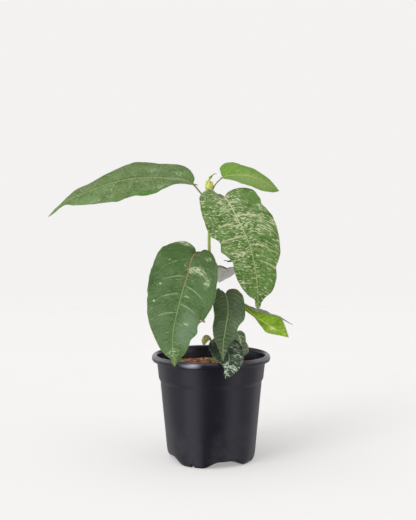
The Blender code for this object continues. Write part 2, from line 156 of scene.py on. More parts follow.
# %% Node trees
class Nodes:
    """A node tree that Python adds to."""

    def __init__(self, tree):
        self.tree = tree

    def node(self, kind, settings=None, sockets=None, output=0):
        """Adds a node: its settings are set first, then each socket gets a value or a wire."""
        made = self.tree.nodes.new(kind)
        for name, value in (settings or {}).items():
            setattr(made, name, value)
        for name, value in (sockets or {}).items():
            if isinstance(value, Wire):
                self.tree.links.new(value.socket, made.inputs[name])
            else:
                made.inputs[name].default_value = value
        return Wire(self, made.outputs[output])

    def mix(self, share, low, high):
        """A colour between low and high, each of them a wire or a screen colour."""
        low, high = (c if isinstance(c, Wire) else shade(*c) for c in (low, high))
        sockets = {0: share, 6: low, 7: high}
        return self.node("ShaderNodeMix", {"data_type": "RGBA"}, sockets, 2)

    def place(self):
        """Where a point is on the object, in millimetres, as one vector."""
        here = self.node("ShaderNodeTexCoord", output=3)
        scale = {0: here, 3: 1 / MM}
        return self.node("ShaderNodeVectorMath", {"operation": "SCALE"}, scale)

    def parts(self, vector):
        """The three numbers of a vector."""
        first = self.node("ShaderNodeSeparateXYZ", None, {0: vector})
        outputs = first.socket.node.outputs
        return [Wire(self, outputs[i]) for i in range(3)]

    def vector(self, x, y, z=0.0):
        """Three numbers as one vector."""
        return self.node("ShaderNodeCombineXYZ", None, {0: x, 1: y, 2: z})

    def length(self, vector):
        """How long a vector is: the square root of x^2 + y^2 + z^2."""
        return self.node("ShaderNodeVectorMath", {"operation": "LENGTH"}, {0: vector}, 1)

    def own_number(self, mark):
        """The number that each point of a mesh carries under this name."""
        return self.node("ShaderNodeAttribute", {"attribute_name": mark}, None, 2)

    def noise(self, vector, scale, detail=2.0, rough=0.5):
        """Soft clouds from 0 to 1, about `scale` of them to each unit of the vector."""
        sockets = {"Vector": vector, "Scale": scale, "Detail": detail, "Roughness": rough}
        return self.node("ShaderNodeTexNoise", None, sockets)

    def cells(self, vector, scale, random=1.0):
        """Distance to the nearest of many scattered points."""
        sockets = {"Vector": vector, "Scale": scale, "Randomness": random}
        return self.node("ShaderNodeTexVoronoi", None, sockets)


# %% Finishes
class Finish(Nodes):
    """A material under construction: its nodes, and the shader at their end."""

    def __init__(self, name):
        self.material = bpy.data.materials.new(name)
        self.material.use_nodes = True
        super().__init__(self.material.node_tree)
        self.shader = self.tree.nodes["Principled BSDF"]

    def __str__(self):
        return f"{self.material.name}: {len(self.tree.nodes)} nodes"

    def bump(self, height, depth, strength=1.0):
        """Feeds the shader a normal that follows a height from 0 to 1, depth millimetres deep."""
        sockets = {"Strength": strength, "Distance": depth * MM, "Height": height}
        self.feed("Normal", self.node("ShaderNodeBump", None, sockets))

    def feed(self, name, value):
        """Joins a wire, or sets a value, on one of the shader's sockets."""
        if isinstance(value, Wire):
            self.tree.links.new(value.socket, self.shader.inputs[name])
        else:
            self.shader.inputs[name].default_value = value


# %% [markdown]
# ## Light and floor
#
# A white room would turn black plastic grey, because plastic mirrors whatever is beside it. So the
# surroundings are fairly dark, with upright bright panels round the plant: they make the soft bands
# on the pot. The brightest, a lamp high at the left, shines on the rim, but most of the rim's
# highlight is painted into the pot's colour. A very soft sun from above lights the leaves. The floor
# is one disc whose edge fades into a background of its own tone, so no horizon shows. It glows a
# little, which keeps the pot's shadow weak, and mirror rays pass it by, because a floor as pale as
# this would grey the foot of the pot.


# %% Surroundings and sun
PALE = shade(243, 242, 241)
# Brightness of the surroundings: above the horizon, under it, extra overhead and extra behind
FILL, UNDER, OVERHEAD, BEHIND = 0.2, 0.05, 0.55, 0.4
ROOM_TINT = (1.0, 0.99, 0.98, 1)
# Upright panels round the plant: degrees from the front, half width, fade, brightness, and the
# heights between which each is lit
PANELS = ((-44, 17, 8, 1.0, -1, 0.85), (-95, 35, 12, 0.42, -1, 0.85), (50, 12, 12, 0.55, -1, 0.85),
          (90, 40, 14, 0.38, -1, 0.85), (-42, 13, 5, 2.8, 0.1, 1.1))
SUN_STRENGTH, SUN_SPREAD = 0.55, 70  # the spread is in degrees: so wide that it hardly throws a shadow
SUN_WAY = (0.45, 0.4, -0.95)  # where its light goes: down, and away from the front left

world = bpy.data.worlds.new("studio")
bpy.context.scene.world = world
world.use_nodes = True
room = Nodes(world.node_tree)
look_x, look_y, look_z = room.parts(room.node("ShaderNodeTexCoord"))
level = (look_x * look_x + look_y * look_y) ** 0.5
glow = look_z.step(-0.15, 0.05) * (FILL - UNDER) + look_z.step(0.55, 0.85) * OVERHEAD + UNDER
glow = glow + look_y.step(0.3, 0.7) * look_z.step(0.35, 0.2) * BEHIND
for degrees, half_width, fade, strength, low, high in PANELS:
    turn = math.radians(degrees)
    toward = (look_x * math.sin(turn) - look_y * math.cos(turn)) / level
    outer = math.cos(math.radians(half_width + fade))
    inner = math.cos(math.radians(half_width - fade))
    tall = look_z.step(low, low + 0.2) * look_z.step(high, high - 0.35)
    glow = glow + toward.step(outer, inner) * tall * strength
seen = room.node("ShaderNodeBackground", None, {"Color": PALE})
fill = room.node("ShaderNodeBackground", None, {"Color": ROOM_TINT, "Strength": glow})
camera_ray = room.node("ShaderNodeLightPath")
both = room.node("ShaderNodeMixShader", None, {0: camera_ray, 1: fill, 2: seen})
world.node_tree.links.new(both.socket, world.node_tree.nodes["World Output"].inputs["Surface"])

sun = bpy.data.lights.new("sun", "SUN")
sun.energy = SUN_STRENGTH
sun.angle = math.radians(SUN_SPREAD)
lamp = bpy.data.objects.new("sun", sun)
bpy.context.scene.collection.objects.link(lamp)
lamp.rotation_euler = Vector(SUN_WAY).to_track_quat("-Z", "Y").to_euler()
print(f"light: {len(PANELS)} panels and a sun {SUN_SPREAD} degrees wide")

# %% Floor
FLOOR_RADIUS, FLOOR_SIDES = 2.4, 96  # the radius is in metres
FLOOR_GLOW = 0.36

turn = np.linspace(0, 2 * np.pi, FLOOR_SIDES, endpoint=False)
edge = np.column_stack((np.cos(turn), np.sin(turn), 0 * turn)) * FLOOR_RADIUS
floor_mesh = bpy.data.meshes.new("floor")
floor_mesh.from_pydata(edge.tolist(), [], [tuple(range(FLOOR_SIDES))])
floor = bpy.data.objects.new("floor", floor_mesh)
bpy.context.scene.collection.objects.link(floor)
floor.visible_glossy = False

paint = Finish("floor")
away = paint.length(paint.place()) * MM
paint.feed("Base Color", shade(204, 203, 202))
paint.feed("Emission Color", shade(250, 249, 248))
paint.feed("Emission Strength", FLOOR_GLOW)
paint.feed("Roughness", 0.9)
paint.feed("Alpha", away.step(0.9 * FLOOR_RADIUS, 0.25 * FLOOR_RADIUS))
floor_mesh.materials.append(paint.material)
print(paint)

# %% [markdown]
# ## Curves through points
#
# A leaf's rib, a stem and the edge of a leaf are each drawn through a handful of points. Bezier
# curves would do, but their handles are more numbers to look after. The curve below needs only the
# points: each gets the slope that its two neighbours give, and cubic pieces join them.


# %% Curve helpers
def unit(vectors):
    """The same directions, one long: each vector over its own length."""
    vectors = np.asarray(vectors, float)
    return vectors / np.linalg.norm(vectors, axis=-1, keepdims=True)


def chord_knots(points):
    """How far each point lies along the line through them all: the running sum of the chords."""
    steps = np.linalg.norm(np.diff(np.asarray(points, float), axis=0), axis=1)
    return np.concatenate(([0.0], np.cumsum(steps)))


def smooth(points, knots, at):
    """A curve through points. Between two it is the cubic that meets both points and both slopes:
    (1+2u)(1-u)^2 p + u(1-u)^2 g m + u^2(3-2u) q + u^2(u-1) g n, for points p, q, slopes m, n and
    gap g, as u runs from 0 to 1."""
    points = np.asarray(points, float)
    slope = np.gradient(points, knots, axis=0)
    i = np.clip(np.searchsorted(knots, at, side="right") - 1, 0, len(points) - 2)
    gap = (knots[i + 1] - knots[i])[..., None]
    u = np.clip((at - knots[i])[..., None] / gap, 0, 1)
    start = (1 + 2 * u) * (1 - u) ** 2 * points[i] + u * (1 - u) ** 2 * gap * slope[i]
    return start + u * u * (3 - 2 * u) * points[i + 1] + u * u * (u - 1) * gap * slope[i + 1]


def spread(values, share):
    """Values spaced evenly from 0 to 1, read smoothly at each share."""
    return smooth(values, np.linspace(0, 1, len(values)), share)


def run(points, step):
    """Places about one step apart along the smooth curve through the points."""
    knots = chord_knots(np.asarray(points, float)[:, :2])
    return smooth(points, knots, np.linspace(0, knots[-1], max(2, round(knots[-1] / step))))


# %% Rises and ripples
def rise(value, low, high):
    """0 below low, 1 above high, and 3u^2 - 2u^3 between, where u is the share of the way. With
    low over high it falls."""
    u = np.clip((value - low) / (high - low), 0, 1)
    return u * u * (3 - 2 * u)


def ripple(x, y, size, seed):
    """Gentle bumps about `size` across, nearly all between -1 and 1: a fifth of the sum of twelve
    sine waves that run in random directions, with the draw fixed by the seed."""
    draw = np.random.default_rng(seed)
    turn, phase = draw.uniform(0, 2 * np.pi, (2, 12))
    pitch = 2 * np.pi / size * draw.uniform(0.6, 1.5, 12)
    along = x[..., None] * np.cos(turn) + y[..., None] * np.sin(turn)
    return np.sin(along * pitch + phase).sum(-1) / 5


# %% [markdown]
# ## From a grid of points to a piece
#
# Every surface here is a stack of closed rings: round a pot, round a stem, or over the top of a
# leaf and back along its underside. Neighbouring rings are joined by four-sided faces and each end
# is closed by a fan to one middle point, so that no seam or pole is left open.


# %% Ring skins
def skin_faces(rows, sides):
    """Faces of a stack of rings whose points turn anticlockwise seen from the last one. The two
    end points of the fans come after all the rings."""
    first = np.arange(rows - 1)[:, None] * sides
    here = first + np.arange(sides)
    ahead = first + np.roll(np.arange(sides), -1)
    quads = np.stack((here, ahead, ahead + sides, here + sides), -1).reshape(-1, 4)
    around = np.arange(sides)
    after = np.roll(around, -1)
    last = (rows - 1) * sides
    low = np.column_stack((after, around, 0 * around + rows * sides))
    high = np.column_stack((last + around, last + after, 0 * around + rows * sides + 1))
    return quads, np.vstack((low, high))


# %% Piece from points
def piece(name, points, faces, finish, sharp=None, uvs=None, marks=None):
    """A mesh object at the origin from points in millimetres. uvs and marks give numbers to each
    point, as UV maps and as attributes, for the finish to read."""
    mesh = bpy.data.meshes.new(name)
    mesh.from_pydata((points * MM).tolist(), [], [f for group in faces for f in group.tolist()])
    mesh.update()
    mesh.shade_smooth()
    if sharp:
        mesh.set_sharp_from_angle(angle=math.radians(sharp))
    corners = np.zeros(len(mesh.loops), np.int32)
    mesh.loops.foreach_get("vertex_index", corners)
    for uv_name, values in (uvs or {}).items():
        layer = mesh.uv_layers.new(name=uv_name)
        layer.data.foreach_set("uv", np.asarray(values, np.float32)[corners].ravel())
    for mark, values in (marks or {}).items():
        layer = mesh.attributes.new(mark, "FLOAT", "POINT")
        layer.data.foreach_set("value", np.asarray(values, np.float32))
    mesh.materials.append(finish.material)
    made = bpy.data.objects.new(name, mesh)
    bpy.context.scene.collection.objects.link(made)
    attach(made, "root")
    size = np.ptp(points, axis=0)
    print(f"{name}: {len(mesh.polygons)} faces, {size[0]:.0f} x {size[1]:.0f} x {size[2]:.0f} mm")
    return made


def closed(rings):
    """Points and faces of rings given as one array of ring, point and x y z. The middle of the
    first ring and that of the last one close the ends."""
    rows, sides = rings.shape[:2]
    points = np.vstack((rings.reshape(-1, 3), rings[[0, -1]].mean(1)))
    return points, skin_faces(rows, sides)


def skin(name, rings, finish, **more):
    """A closed piece from its rings."""
    return piece(name, *closed(rings), finish, **more)


# %% Tubes
def tube(line, radii, sides, back=(0.0, 1.0, 0.0), thin=1.0):
    """Rings round a smooth line: centre + r (cos t * side + thin * sin t * back), where back is
    made square to the line and side is square to both. thin below 1 flattens the tube."""
    along = unit(np.gradient(line, axis=0))
    back = unit(back - along * (along @ np.asarray(back, float))[:, None])
    side = np.cross(back, along)
    turn = np.linspace(0, 2 * np.pi, sides, endpoint=False)
    out = np.cos(turn)[:, None] * side[:, None] + thin * np.sin(turn)[:, None] * back[:, None]
    return line[:, None] + np.broadcast_to(radii, (len(line), sides))[..., None] * out


# %% [markdown]
# ## Pot
#
# A nursery pot is vacuum-formed from black plastic a millimetre or so thick: a tapered wall, a step
# out to a collar, a rolled rim, and a floor pressed up into four channels so that water can leave.
# A Screw modifier would turn the profile, but it can't raise the floor in four places. So the ring
# of each profile point is worked out, and its height follows the channels.

# %% Pot sizes
FIRST_FOOT = -115.0  # azimuth of the front left foot, in degrees from +X
FLOOR_LIFT = 6.4  # height of the four raised channels between the feet
CHANNEL_SIDE = (13, 36)  # degrees off a foot at which a channel starts to rise and is at its height
NICK, NICK_SIDE = 2.4, (1.0, 2.4)  # the small nick in each foot, and degrees over which it ends
FLUTE, FLUTE_SIDE = 0.9, (12, 40)  # how far the wall sinks over a channel, with sides of its own
DRAIN_RADIUS, DRAIN_AT = 4.0, 38.0  # the second is from the pot's middle

# Runs of (radius, height, share of the floor's lift), with a sharp bend between two runs
POT_RUNS = (
    ((17, 0, 0), (24, 0, 0.5), (31, 0, 1), (38, 0, 1), (43.5, 0, 1)),
    ((43.5, 0, 1), (45.8, 0.3, 0.95), (47.3, 2.0, 0.85), (48.5, 6.2, 0.5), (49.2, 12, 0.12),
     (50.1, 22, 0)),
    ((50.1, 22, 0), (52.5, 50, 0), (54.8, 76, 0), (55.4, 82, 0)),
    ((55.4, 82, 0), (55.5, 84.8, 0), (56.0, 86.6, 0), (57.1, 88.6, 0), (57.6, 90.2, 0), (57.8, 92.5, 0),
     (58.1, 95.5, 0)),
    ((58.1, 95.5, 0), (59.2, 105, 0), (59.5, 107, 0), (60.0, 108.2, 0), (61, 108.7, 0)),
    ((61, 108.7, 0), (63, 108.4, 0), (64.2, 108.8, 0), (64.9, 110.1, 0), (65, 111.8, 0),
     (64.5, 113.6, 0), (63.3, 115.0, 0), (61.7, 115.5, 0), (60.2, 115.0, 0), (59.3, 113.6, 0),
     (59.0, 111.5, 0)),
    ((59.0, 111.5, 0), (58.1, 106.5, 0), (57.0, 98, 0), (56.3, 92, 0), (55.3, 88, 0), (54.1, 83.5, 0)),
    ((54.1, 83.5, 0), (51, 47, 0), (48.7, 22, 0), (47.8, 12, 0.1), (46.6, 5.5, 0.6), (44.6, 1.6, 1)),
    ((44.6, 1.6, 1), (38, 1.6, 1), (31, 1.6, 1), (24, 1.6, 0.5), (17, 1.6, 0)),
)


# %% Pot rings
def off_foot(azimuth):
    """Degrees to the middle of the nearest foot: the smaller of t and 90 - t, where t is the
    azimuth past the first foot, less whole quarter turns."""
    turn = (azimuth - FIRST_FOOT) % 90
    return np.minimum(turn, 90 - turn)


def foot_lift(azimuth):
    """Height of the floor over the ground: 0 on a foot, but for its nick, then a smooth side up
    to the full lift in a channel."""
    off = off_foot(azimuth)
    return FLOOR_LIFT * rise(off, *CHANNEL_SIDE) + NICK * (1 - rise(off, *NICK_SIDE))


def pot_rings(sides=288, step=1.6):
    """Rings of the pot: (radius cos t, radius sin t, height) with both from the profile. Each point
    rises by its share of the floor's lift, and the wall sinks over each channel, most at the foot."""
    profile = np.vstack([run(points, step) for points in POT_RUNS])
    azimuth = FIRST_FOOT + np.arange(sides) * 360 / sides
    turn = np.radians(azimuth)
    radius, height, share = profile.T[:, :, None]
    flute = FLUTE * rise(off_foot(azimuth), *FLUTE_SIDE)
    radius = radius - flute * rise(height, 70, 12) * rise(radius, 40, 46)
    height = height + share * foot_lift(azimuth)
    return np.stack((radius * np.cos(turn), radius * np.sin(turn), height + 0 * turn), -1)


# %% [markdown]
# ### Black plastic
#
# Recycled black plastic isn't a flat black. It has a faint sheen, fine vertical drawing lines from
# the mould, a few scuffs, and dust where damp mix has dried on it. All of that is small, so most of
# it goes into roughness, where it shows only in the light bands. The rim is polished, and highlights
# are painted into its colour: pale along its crest, at its two ends and in one spot in front.

# %% Pot finish
plastic = Finish("pot_plastic")
spot = plastic.place()
px, py, pz = plastic.parts(spot)
cloud = plastic.noise(spot, 0.05, 3.0)
drawn = plastic.noise(plastic.vector(px * 0.8, py * 0.8, pz * 0.02), 1.0, 2.0)
scuff = plastic.noise(plastic.vector(px * 0.06, py * 0.06, pz * 0.9), 1.0, 4.0).step(0.62, 0.75)
dust = cloud.step(0.45, 0.75) * pz.step(70.0, 5.0) * 0.6 + scuff * 0.15
colour = plastic.mix(dust, (27, 26, 35), (57, 55, 62))

rolled = pz.step(107.0, 110.0)  # from here up it is the rim
# Painted highlights on the rim: pale along the crest, at the two ends and in one spot at the front
# left, standing in for the lamps' reflections
crest = abs((px * px + py * py) ** 0.5 - 61.4).step(1.8, 0.6) * pz.step(114.6, 115.2)
ends = abs(px).step(30.0, 60.0) * pz.step(111.6, 114.2) * py.step(30.0, -10.0)
painted_rim_highlight = (crest * 0.35 + ends * 0.65) * drawn.step(0.1, 0.5)
colour = plastic.mix(painted_rim_highlight, colour, (152, 151, 161))
from_spot = plastic.vector((px + 22) / 14, (py + 61) / 8, (pz - 112.2) / 3.6)
painted_highlight_spot = plastic.length(from_spot).step(1.1, 0.1)
plastic.feed("Base Color", plastic.mix(painted_highlight_spot * 0.8, colour, (176, 174, 190)))
plastic.feed("Roughness", cloud * 0.12 + drawn * 0.06 + dust * 0.25 + 0.24 - rolled * 0.15)
plastic.feed("Specular IOR Level", 0.54)
plastic.feed("Specular Tint", (0.9, 0.88, 1.0, 1.0))
plastic.bump(cloud * 0.6 + drawn * 0.2 + plastic.noise(spot, 0.9, 2.0) * 0.2, 0.25)
print(plastic)

# %% Pot
pot = skin("nursery_pot", pot_rings(), plastic, sharp=50)
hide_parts("pot")

# Four round drain holes, one through each channel
for quarter in range(4):
    turn = math.radians(FIRST_FOOT + 45 + 90 * quarter)
    at = (DRAIN_AT * math.cos(turn) * MM, DRAIN_AT * math.sin(turn) * MM, FLOOR_LIFT * MM)
    bpy.ops.mesh.primitive_cylinder_add(vertices=32, radius=DRAIN_RADIUS * MM, depth=12 * MM,
                                        location=at)
    drill = bpy.context.object
    cut = pot.modifiers.new("drain", "BOOLEAN")
    cut.object = drill
    bpy.context.view_layer.objects.active = pot
    bpy.ops.object.modifier_apply(modifier="drain")
    bpy.data.objects.remove(drill)
print("pot after drilling:", len(pot.data.polygons), "faces")

# %% [markdown]
# ## Leaves
#
# A clown fig's leaf is heart-shaped at its base, runs out into a drip tip, and stands on a long
# stalk. Each has its own bend, so each is described by a few measurements: points of its stalk and
# midrib, the way its upper side looks, and the outlines of its two halves laid flat. Cutting them
# from one template would be quicker, but no two leaves on a real plant match.


# %% What is measured on a leaf
@dataclass
class Look:
    """How one leaf is coloured. Colours are screen colours."""

    green: tuple  # upper side
    deep: tuple  # its darker places
    pale: tuple  # wide soft flecks
    cream: tuple  # small bright flecks
    cover: float  # how many flecks: 0 for about half the blade, -0.3 for nearly none
    veins: float  # side veins in each half
    quilt: float  # how far the blade domes between two side veins, in mm
    under: tuple = (148, 164, 126)  # lower side
    rib: tuple = (150, 156, 110)  # midrib at the base
    rib_tip: tuple = (122, 142, 88)  # midrib at the tip, and side veins
    rib_width: float = 1.1  # half the midrib's colour, in stalk radii
    stalk: tuple = (124, 118, 84)
    blush: tuple = (172, 184, 148)  # every second fleck
    vein_shift: tuple = (0.0, 0.35)  # where the right and left halves' first veins are, in gaps
    bend: tuple = ((0.15, 0.6), (0.15, 0.6))  # how far a side vein bends forward, near and far out
    vein_strength: float = 0.5
    vein_crease_shade: float = 0.35  # painted shade in the crease along a side vein
    streak: tuple = (0.2, 0.5)  # streaks in a millimetre, along a side vein and across it
    patches: tuple = ()  # places with more flecks: x, y, half width, half length, strength
    tints_and_painted_light: tuple = ()  # places whose green is shifted, for a tone of their own and as painted sheen and shade: x, y, half width, half length, share, colour
    bright_veins: tuple = ()  # places where side veins are bright: x, y, half width, half length


@dataclass
class Leaf:
    """One leaf. right and left are the halves seen from base to tip with the upper side up."""

    node: float  # height at which the stalk leaves the stem
    stalk: tuple  # points of the stalk between the stem and the blade's base
    rib: tuple  # points along the midrib, from the blade's base to its tip
    face: tuple  # which way the upper side looks, spread evenly from base to tip
    fold: tuple  # how far the halves are lifted from flat, in degrees, spread in the same way
    right: tuple  # outline of the right half, as (across, along) from the base to the tip
    left: tuple
    look: Look
    wave: tuple = (1.5, 4.0, 0.0)  # waves of the margin: height, number, start
    stalk_radius: float = 0.9


# %% [markdown]
# ### The two leaves at the top
#
# The long one is held out to the left and droops at its tip. The short one at the right is young,
# bright and still folded at its base. Both are seen at a slant, so an outline taken as it looks
# would come out squashed: the outlines here are those of the blade laid flat, and the midrib does
# the bending.

# %% Top leaves
LEAVES = {}
LEAVES["leaf_upper_left"] = Leaf(
    node=280,
    stalk=((-12, -3, 292),),
    rib=((-20, -5, 301), (-56, -12, 307), (-95, -20, 304), (-133, -24, 291), (-156, -24, 280),
         (-174, -22, 265)),
    face=((0, -0.36, 0.93), (0, -0.53, 0.85), (0, -0.5, 0.86), (0, -0.6, 0.8)),
    fold=(11, -2, -2, 0),
    right=((8, -1), (20, 2), (30, 8), (34, 15), (33, 28), (35, 42), (39, 53), (38, 63), (31, 73),
           (26, 84), (23, 95), (17, 112), (14, 128), (7, 139), (3, 147), (2.4, 157)),
    left=((9, -4), (17, 2), (20, 12), (20, 23), (28, 37), (35, 50), (36, 60), (32, 70), (33, 80),
          (37, 91), (34, 101), (24, 118), (13, 134), (4, 143), (2.6, 149), (2.4, 157)),
    wave=(1.0, 4.0, 0.1),
    look=Look(
        green=(110, 136, 83), deep=(84, 112, 51), pale=(128, 150, 103), cream=(152, 173, 130),
        cover=-0.075, veins=8.5, quilt=0.5, vein_shift=(0.1, 0.45),
        rib=(174, 172, 115), rib_tip=(152, 165, 101), rib_width=1.4, stalk=(161, 159, 126),
        patches=((-22, 109, 7, 8, 1.1), (-26, 93, 6, 6, 0.9), (-20, 38, 6, 6, 1.4), (17, 40, 6, 8, 1.4),
                 (12, 15, 8, 8, 1.5), (-10, 94, 9, 12, 0.6)),
        # On this leaf the grey tints beside the midrib on its left half are a painted sheen, and the
        # narrow dark one along the midrib's right side is its painted shadow
        tints_and_painted_light=((-5, 14, 4, 16, 1.2, (135, 146, 130)), (-5, 52, 3, 14, 0.5, (133, 141, 110)),
               (-31, 56, 6, 18, 0.9, (71, 122, 29)), (12, 8, 12, 12, 0.6, (94, 141, 54)),
               (2.6, 78, 1.8, 45, 0.8, (71, 106, 29)), (27, 82, 5, 14, 0.7, (124, 124, 101)),
               (14, 120, 6, 20, 0.7, (115, 124, 91)), (-18, 120, 16, 20, 0.6, (115, 146, 91)),
               (-22, 86, 8, 8, 0.5, (112, 133, 69))),
    ),
)
LEAVES["leaf_upper_right"] = Leaf(
    node=287,
    stalk=((5, -1, 301),),
    rib=((13, -2, 308), (27, -8, 310), (41, -12, 309), (58, -14, 302), (73, -14, 293)),
    face=((0, -0.57, 0.82), (0, -0.52, 0.85), (0, -0.5, 0.86)),
    fold=(20, 6, 4),
    right=((6, -1), (14, 7), (20, 20), (23, 33), (20, 48), (11, 60)),
    left=((5, -3), (12, -7), (18, -4), (20, 6), (16, 23), (12, 41), (7, 55)),
    wave=(0.6, 3.0, 0.2),
    stalk_radius=0.7,
    look=Look(
        green=(118, 153, 70), deep=(101, 142, 44), pale=(149, 171, 106), cream=(162, 180, 118),
        under=(150, 165, 120), cover=-0.11, veins=7, quilt=0.2,
        rib=(182, 189, 118), rib_tip=(169, 182, 111), rib_width=1.6, stalk=(151, 149, 106),
        patches=((10, 40, 14, 26, 0.5),),
        tints_and_painted_light=((-8, 4, 12, 12, 0.8, (106, 151, 31)), (6, 36, 16, 30, 0.6, (149, 171, 96)),
               (14, 22, 9, 14, 0.5, (121, 151, 96))),
    ),
)
print(len(LEAVES), "leaves measured so far")

# %% [markdown]
# ### The two large leaves
#
# These hang and face the viewer, so each part of their pattern shows. Where this plant has much
# cream, a patch adds to the flecks. A tint shifts the green of one place, and a few side veins are
# marked as bright ones. A picture laid on the blade would match closer, but the numbers can be read
# and changed one by one.

# %% Large leaves
LEAVES["leaf_large_right"] = Leaf(
    node=275,
    stalk=((3, -10, 285), (8, -18, 289)),
    rib=((14, -25, 286), (27, -39, 264), (40, -49, 235), (47, -51, 202), (49, -45, 169)),
    face=((0, -1, 0.35), (0.05, -1, 0.05), (0, -1, -0.1)),
    fold=(6, 4, 2),
    right=((3, -9), (11, -16), (22, -13), (30, 3), (34, 28), (33, 38), (28, 47), (30, 58),
           (22, 75), (22, 85), (15, 107), (8, 116), (3.5, 119), (2.5, 127)),
    left=((4, -2), (12, -2), (23, 3), (31, 20), (30, 28), (34, 42), (33, 54), (26, 81), (22, 87),
          (21, 95), (14, 112), (7, 118), (3.5, 123), (2.5, 127)),
    wave=(1.6, 6.0, 0.0),
    look=Look(
        green=(105, 137, 71), deep=(74, 110, 41), pale=(141, 161, 112), cream=(193, 203, 159),
        blush=(200, 197, 159), cover=-0.03, veins=7.6, quilt=0.75, streak=(0.17, 0.44),
        vein_crease_shade=0.5, vein_shift=(0.95, 0.54), bend=((-0.15, 0.0), (0.2, 0.6)),
        rib=(198, 205, 161), rib_tip=(165, 182, 123),
        patches=((4, 10, 16, 14, 0.6), (0, 34, 20, 14, 0.7), (-20, 44, 10, 14, 0.5),
                 (14, 68, 12, 14, 0.5), (-24, 12, 10, 12, -1.2), (-12, 92, 18, 18, -0.3),
                 (2, 112, 12, 16, -0.5), (22, 10, 8, 12, -0.2), (-12, 74, 10, 8, -0.1),
                 (10, 68, 4, 3, 1.2)),
        bright_veins=((-12, 63, 15, 8), (14, 49, 15, 6), (-12, 30, 12, 8), (-14, 86, 12, 7)),
        tints_and_painted_light=((5, 4, 9, 7, 0.6, (130, 134, 107)), (-31, 30, 4, 5, 0.7, (134, 128, 103)),
               (-24, 12, 10, 12, 0.6, (96, 134, 64)), (-12, 100, 14, 16, 0.6, (96, 137, 61)),
               (-14, 76, 12, 12, 0.5, (107, 145, 66)), (20, -8, 8, 8, 0.5, (89, 112, 71))),
    ),
)
LEAVES["leaf_large_left"] = Leaf(
    node=213,
    stalk=((-6, -6, 221.5), (-11, -13, 226.8)),
    rib=((-16, -20, 227), (-25, -42, 204), (-34, -56, 173), (-40, -66, 137), (-37, -72, 113)),
    face=((0, -1, 0.55), (0, -1, 0.25), (0, -1, 0.1)),
    fold=(6, 4, 2),
    right=((4, -5), (13, -8), (26, 1), (36, 16), (38, 38), (34, 64), (27, 88), (22, 96),
           (16, 105), (12, 112), (7.5, 118), (3.2, 123), (2.4, 127)),
    left=((5, -4), (14, -4), (25, 8), (32, 32), (35, 54), (30, 74), (24, 84), (25, 92),
          (19, 103), (16.5, 112), (11.5, 119.5), (6, 123.5), (2.5, 126.5)),
    wave=(1.2, 5.0, 0.3),
    stalk_radius=1.1,
    look=Look(
        green=(95, 123, 76), deep=(71, 102, 52), pale=(124, 151, 103), cream=(200, 212, 169),
        blush=(147, 169, 120), cover=-0.12, veins=6.5, quilt=0.5, streak=(0.13, 0.75),
        vein_crease_shade=0.25, vein_shift=(0.7, 0.22),
        rib=(182, 138, 94), rib_tip=(147, 167, 106), rib_width=0.8,
        patches=((16, -5, 15, 6, 2.8), (-9, 26, 14, 6, 2.3), (-22, 37, 5, 10, 2.1),
                 (-18, 9, 6, 5, 2.0), (19, 20, 9, 1.4, 1.7), (-12, 85, 5, 4, 2.0),
                 (0, 117, 8, 8, 1.8), (24, 50, 1.5, 1.5, 3.4), (26, 68, 1.5, 1.5, 3.4),
                 (-6, 56, 5, 1.5, 1.6), (5, 22, 1.5, 3, 2.0)),
        bright_veins=((-14, 48, 15, 9), (-11, 67, 11, 7), (14, 38, 15, 8), (16, 57, 15, 8),
                      (13, 77, 13, 7)),
        # On this leaf the dark tint high on the right half and the pale one low on it are painted
        # shading from above, and the bluish grey one low on the left half is a painted sheen
        tints_and_painted_light=((18, 12, 18, 20, 0.6, (74, 108, 47)), (20, 98, 16, 34, 0.6, (108, 133, 92)),
               (-14, 92, 14, 28, 0.8, (115, 141, 108)), (-20, 46, 14, 16, 0.5, (82, 113, 67)),
               (-14, 12, 16, 14, 0.5, (87, 110, 64)), (0, 126, 4, 6, 0.8, (113, 129, 67))),
    ),
)
print(len(LEAVES), "leaves measured so far")

# %% [markdown]
# ### The two leaves behind
#
# Only an edge of each shows between the others, so their outlines are a guess, with two halves
# alike. Leaving them out would save work, but from the side the plant would look cut in half.

# %% Leaves behind
LEAVES["leaf_back"] = Leaf(
    node=205,
    stalk=((9, 5, 211),),
    rib=((17, 12, 208), (14, 40, 201), (12, 68, 193), (10, 92, 186)),
    face=((0, 0.25, 1), (0, 0.25, 1), (0, 0.3, 1)),
    fold=(14, 8, 4),
    right=((6, -4), (14, -5), (22, 8), (22, 24), (16, 42), (8, 60), (3, 75)),
    left=((6, -4), (14, -5), (22, 8), (22, 24), (16, 42), (8, 60), (3, 75)),
    wave=(1.4, 3.5, 0.1),
    look=Look(
        green=(104, 130, 76), deep=(80, 108, 56), pale=(134, 152, 108), cream=(190, 194, 160),
        under=(220, 222, 216), cover=-0.05, veins=6, quilt=0.4,
        rib=(196, 200, 170), rib_tip=(190, 190, 180), stalk=(140, 138, 112),
        tints_and_painted_light=((-4, 0, 12, 10, 0.5, (150, 160, 130)),),
    ),
)
LEAVES["leaf_back_right"] = Leaf(
    node=256,
    stalk=((5, 3, 252), (17, 6, 236)),
    rib=((28, 8, 218), (40, 24, 216), (55, 42, 212), (66, 56, 207)),
    face=((-0.1, 0.1, 1), (-0.1, 0.1, 1), (0.1, 0.2, 1)),
    fold=(8, 4, 2),
    right=((5, -5), (12, -6), (18, 6), (20, 20), (15, 40), (6, 54)),
    left=((5, -5), (12, -6), (18, 6), (20, 20), (15, 40), (6, 54)),
    wave=(1.2, 3.0, 0.4),
    look=Look(
        green=(92, 122, 66), deep=(66, 96, 46), pale=(124, 144, 100), cream=(196, 200, 160),
        under=(130, 138, 128), cover=-0.03, veins=5, quilt=0.4,
        rib=(150, 160, 120), rib_tip=(126, 146, 92),
    ),
)
print(len(LEAVES), "leaves measured so far")
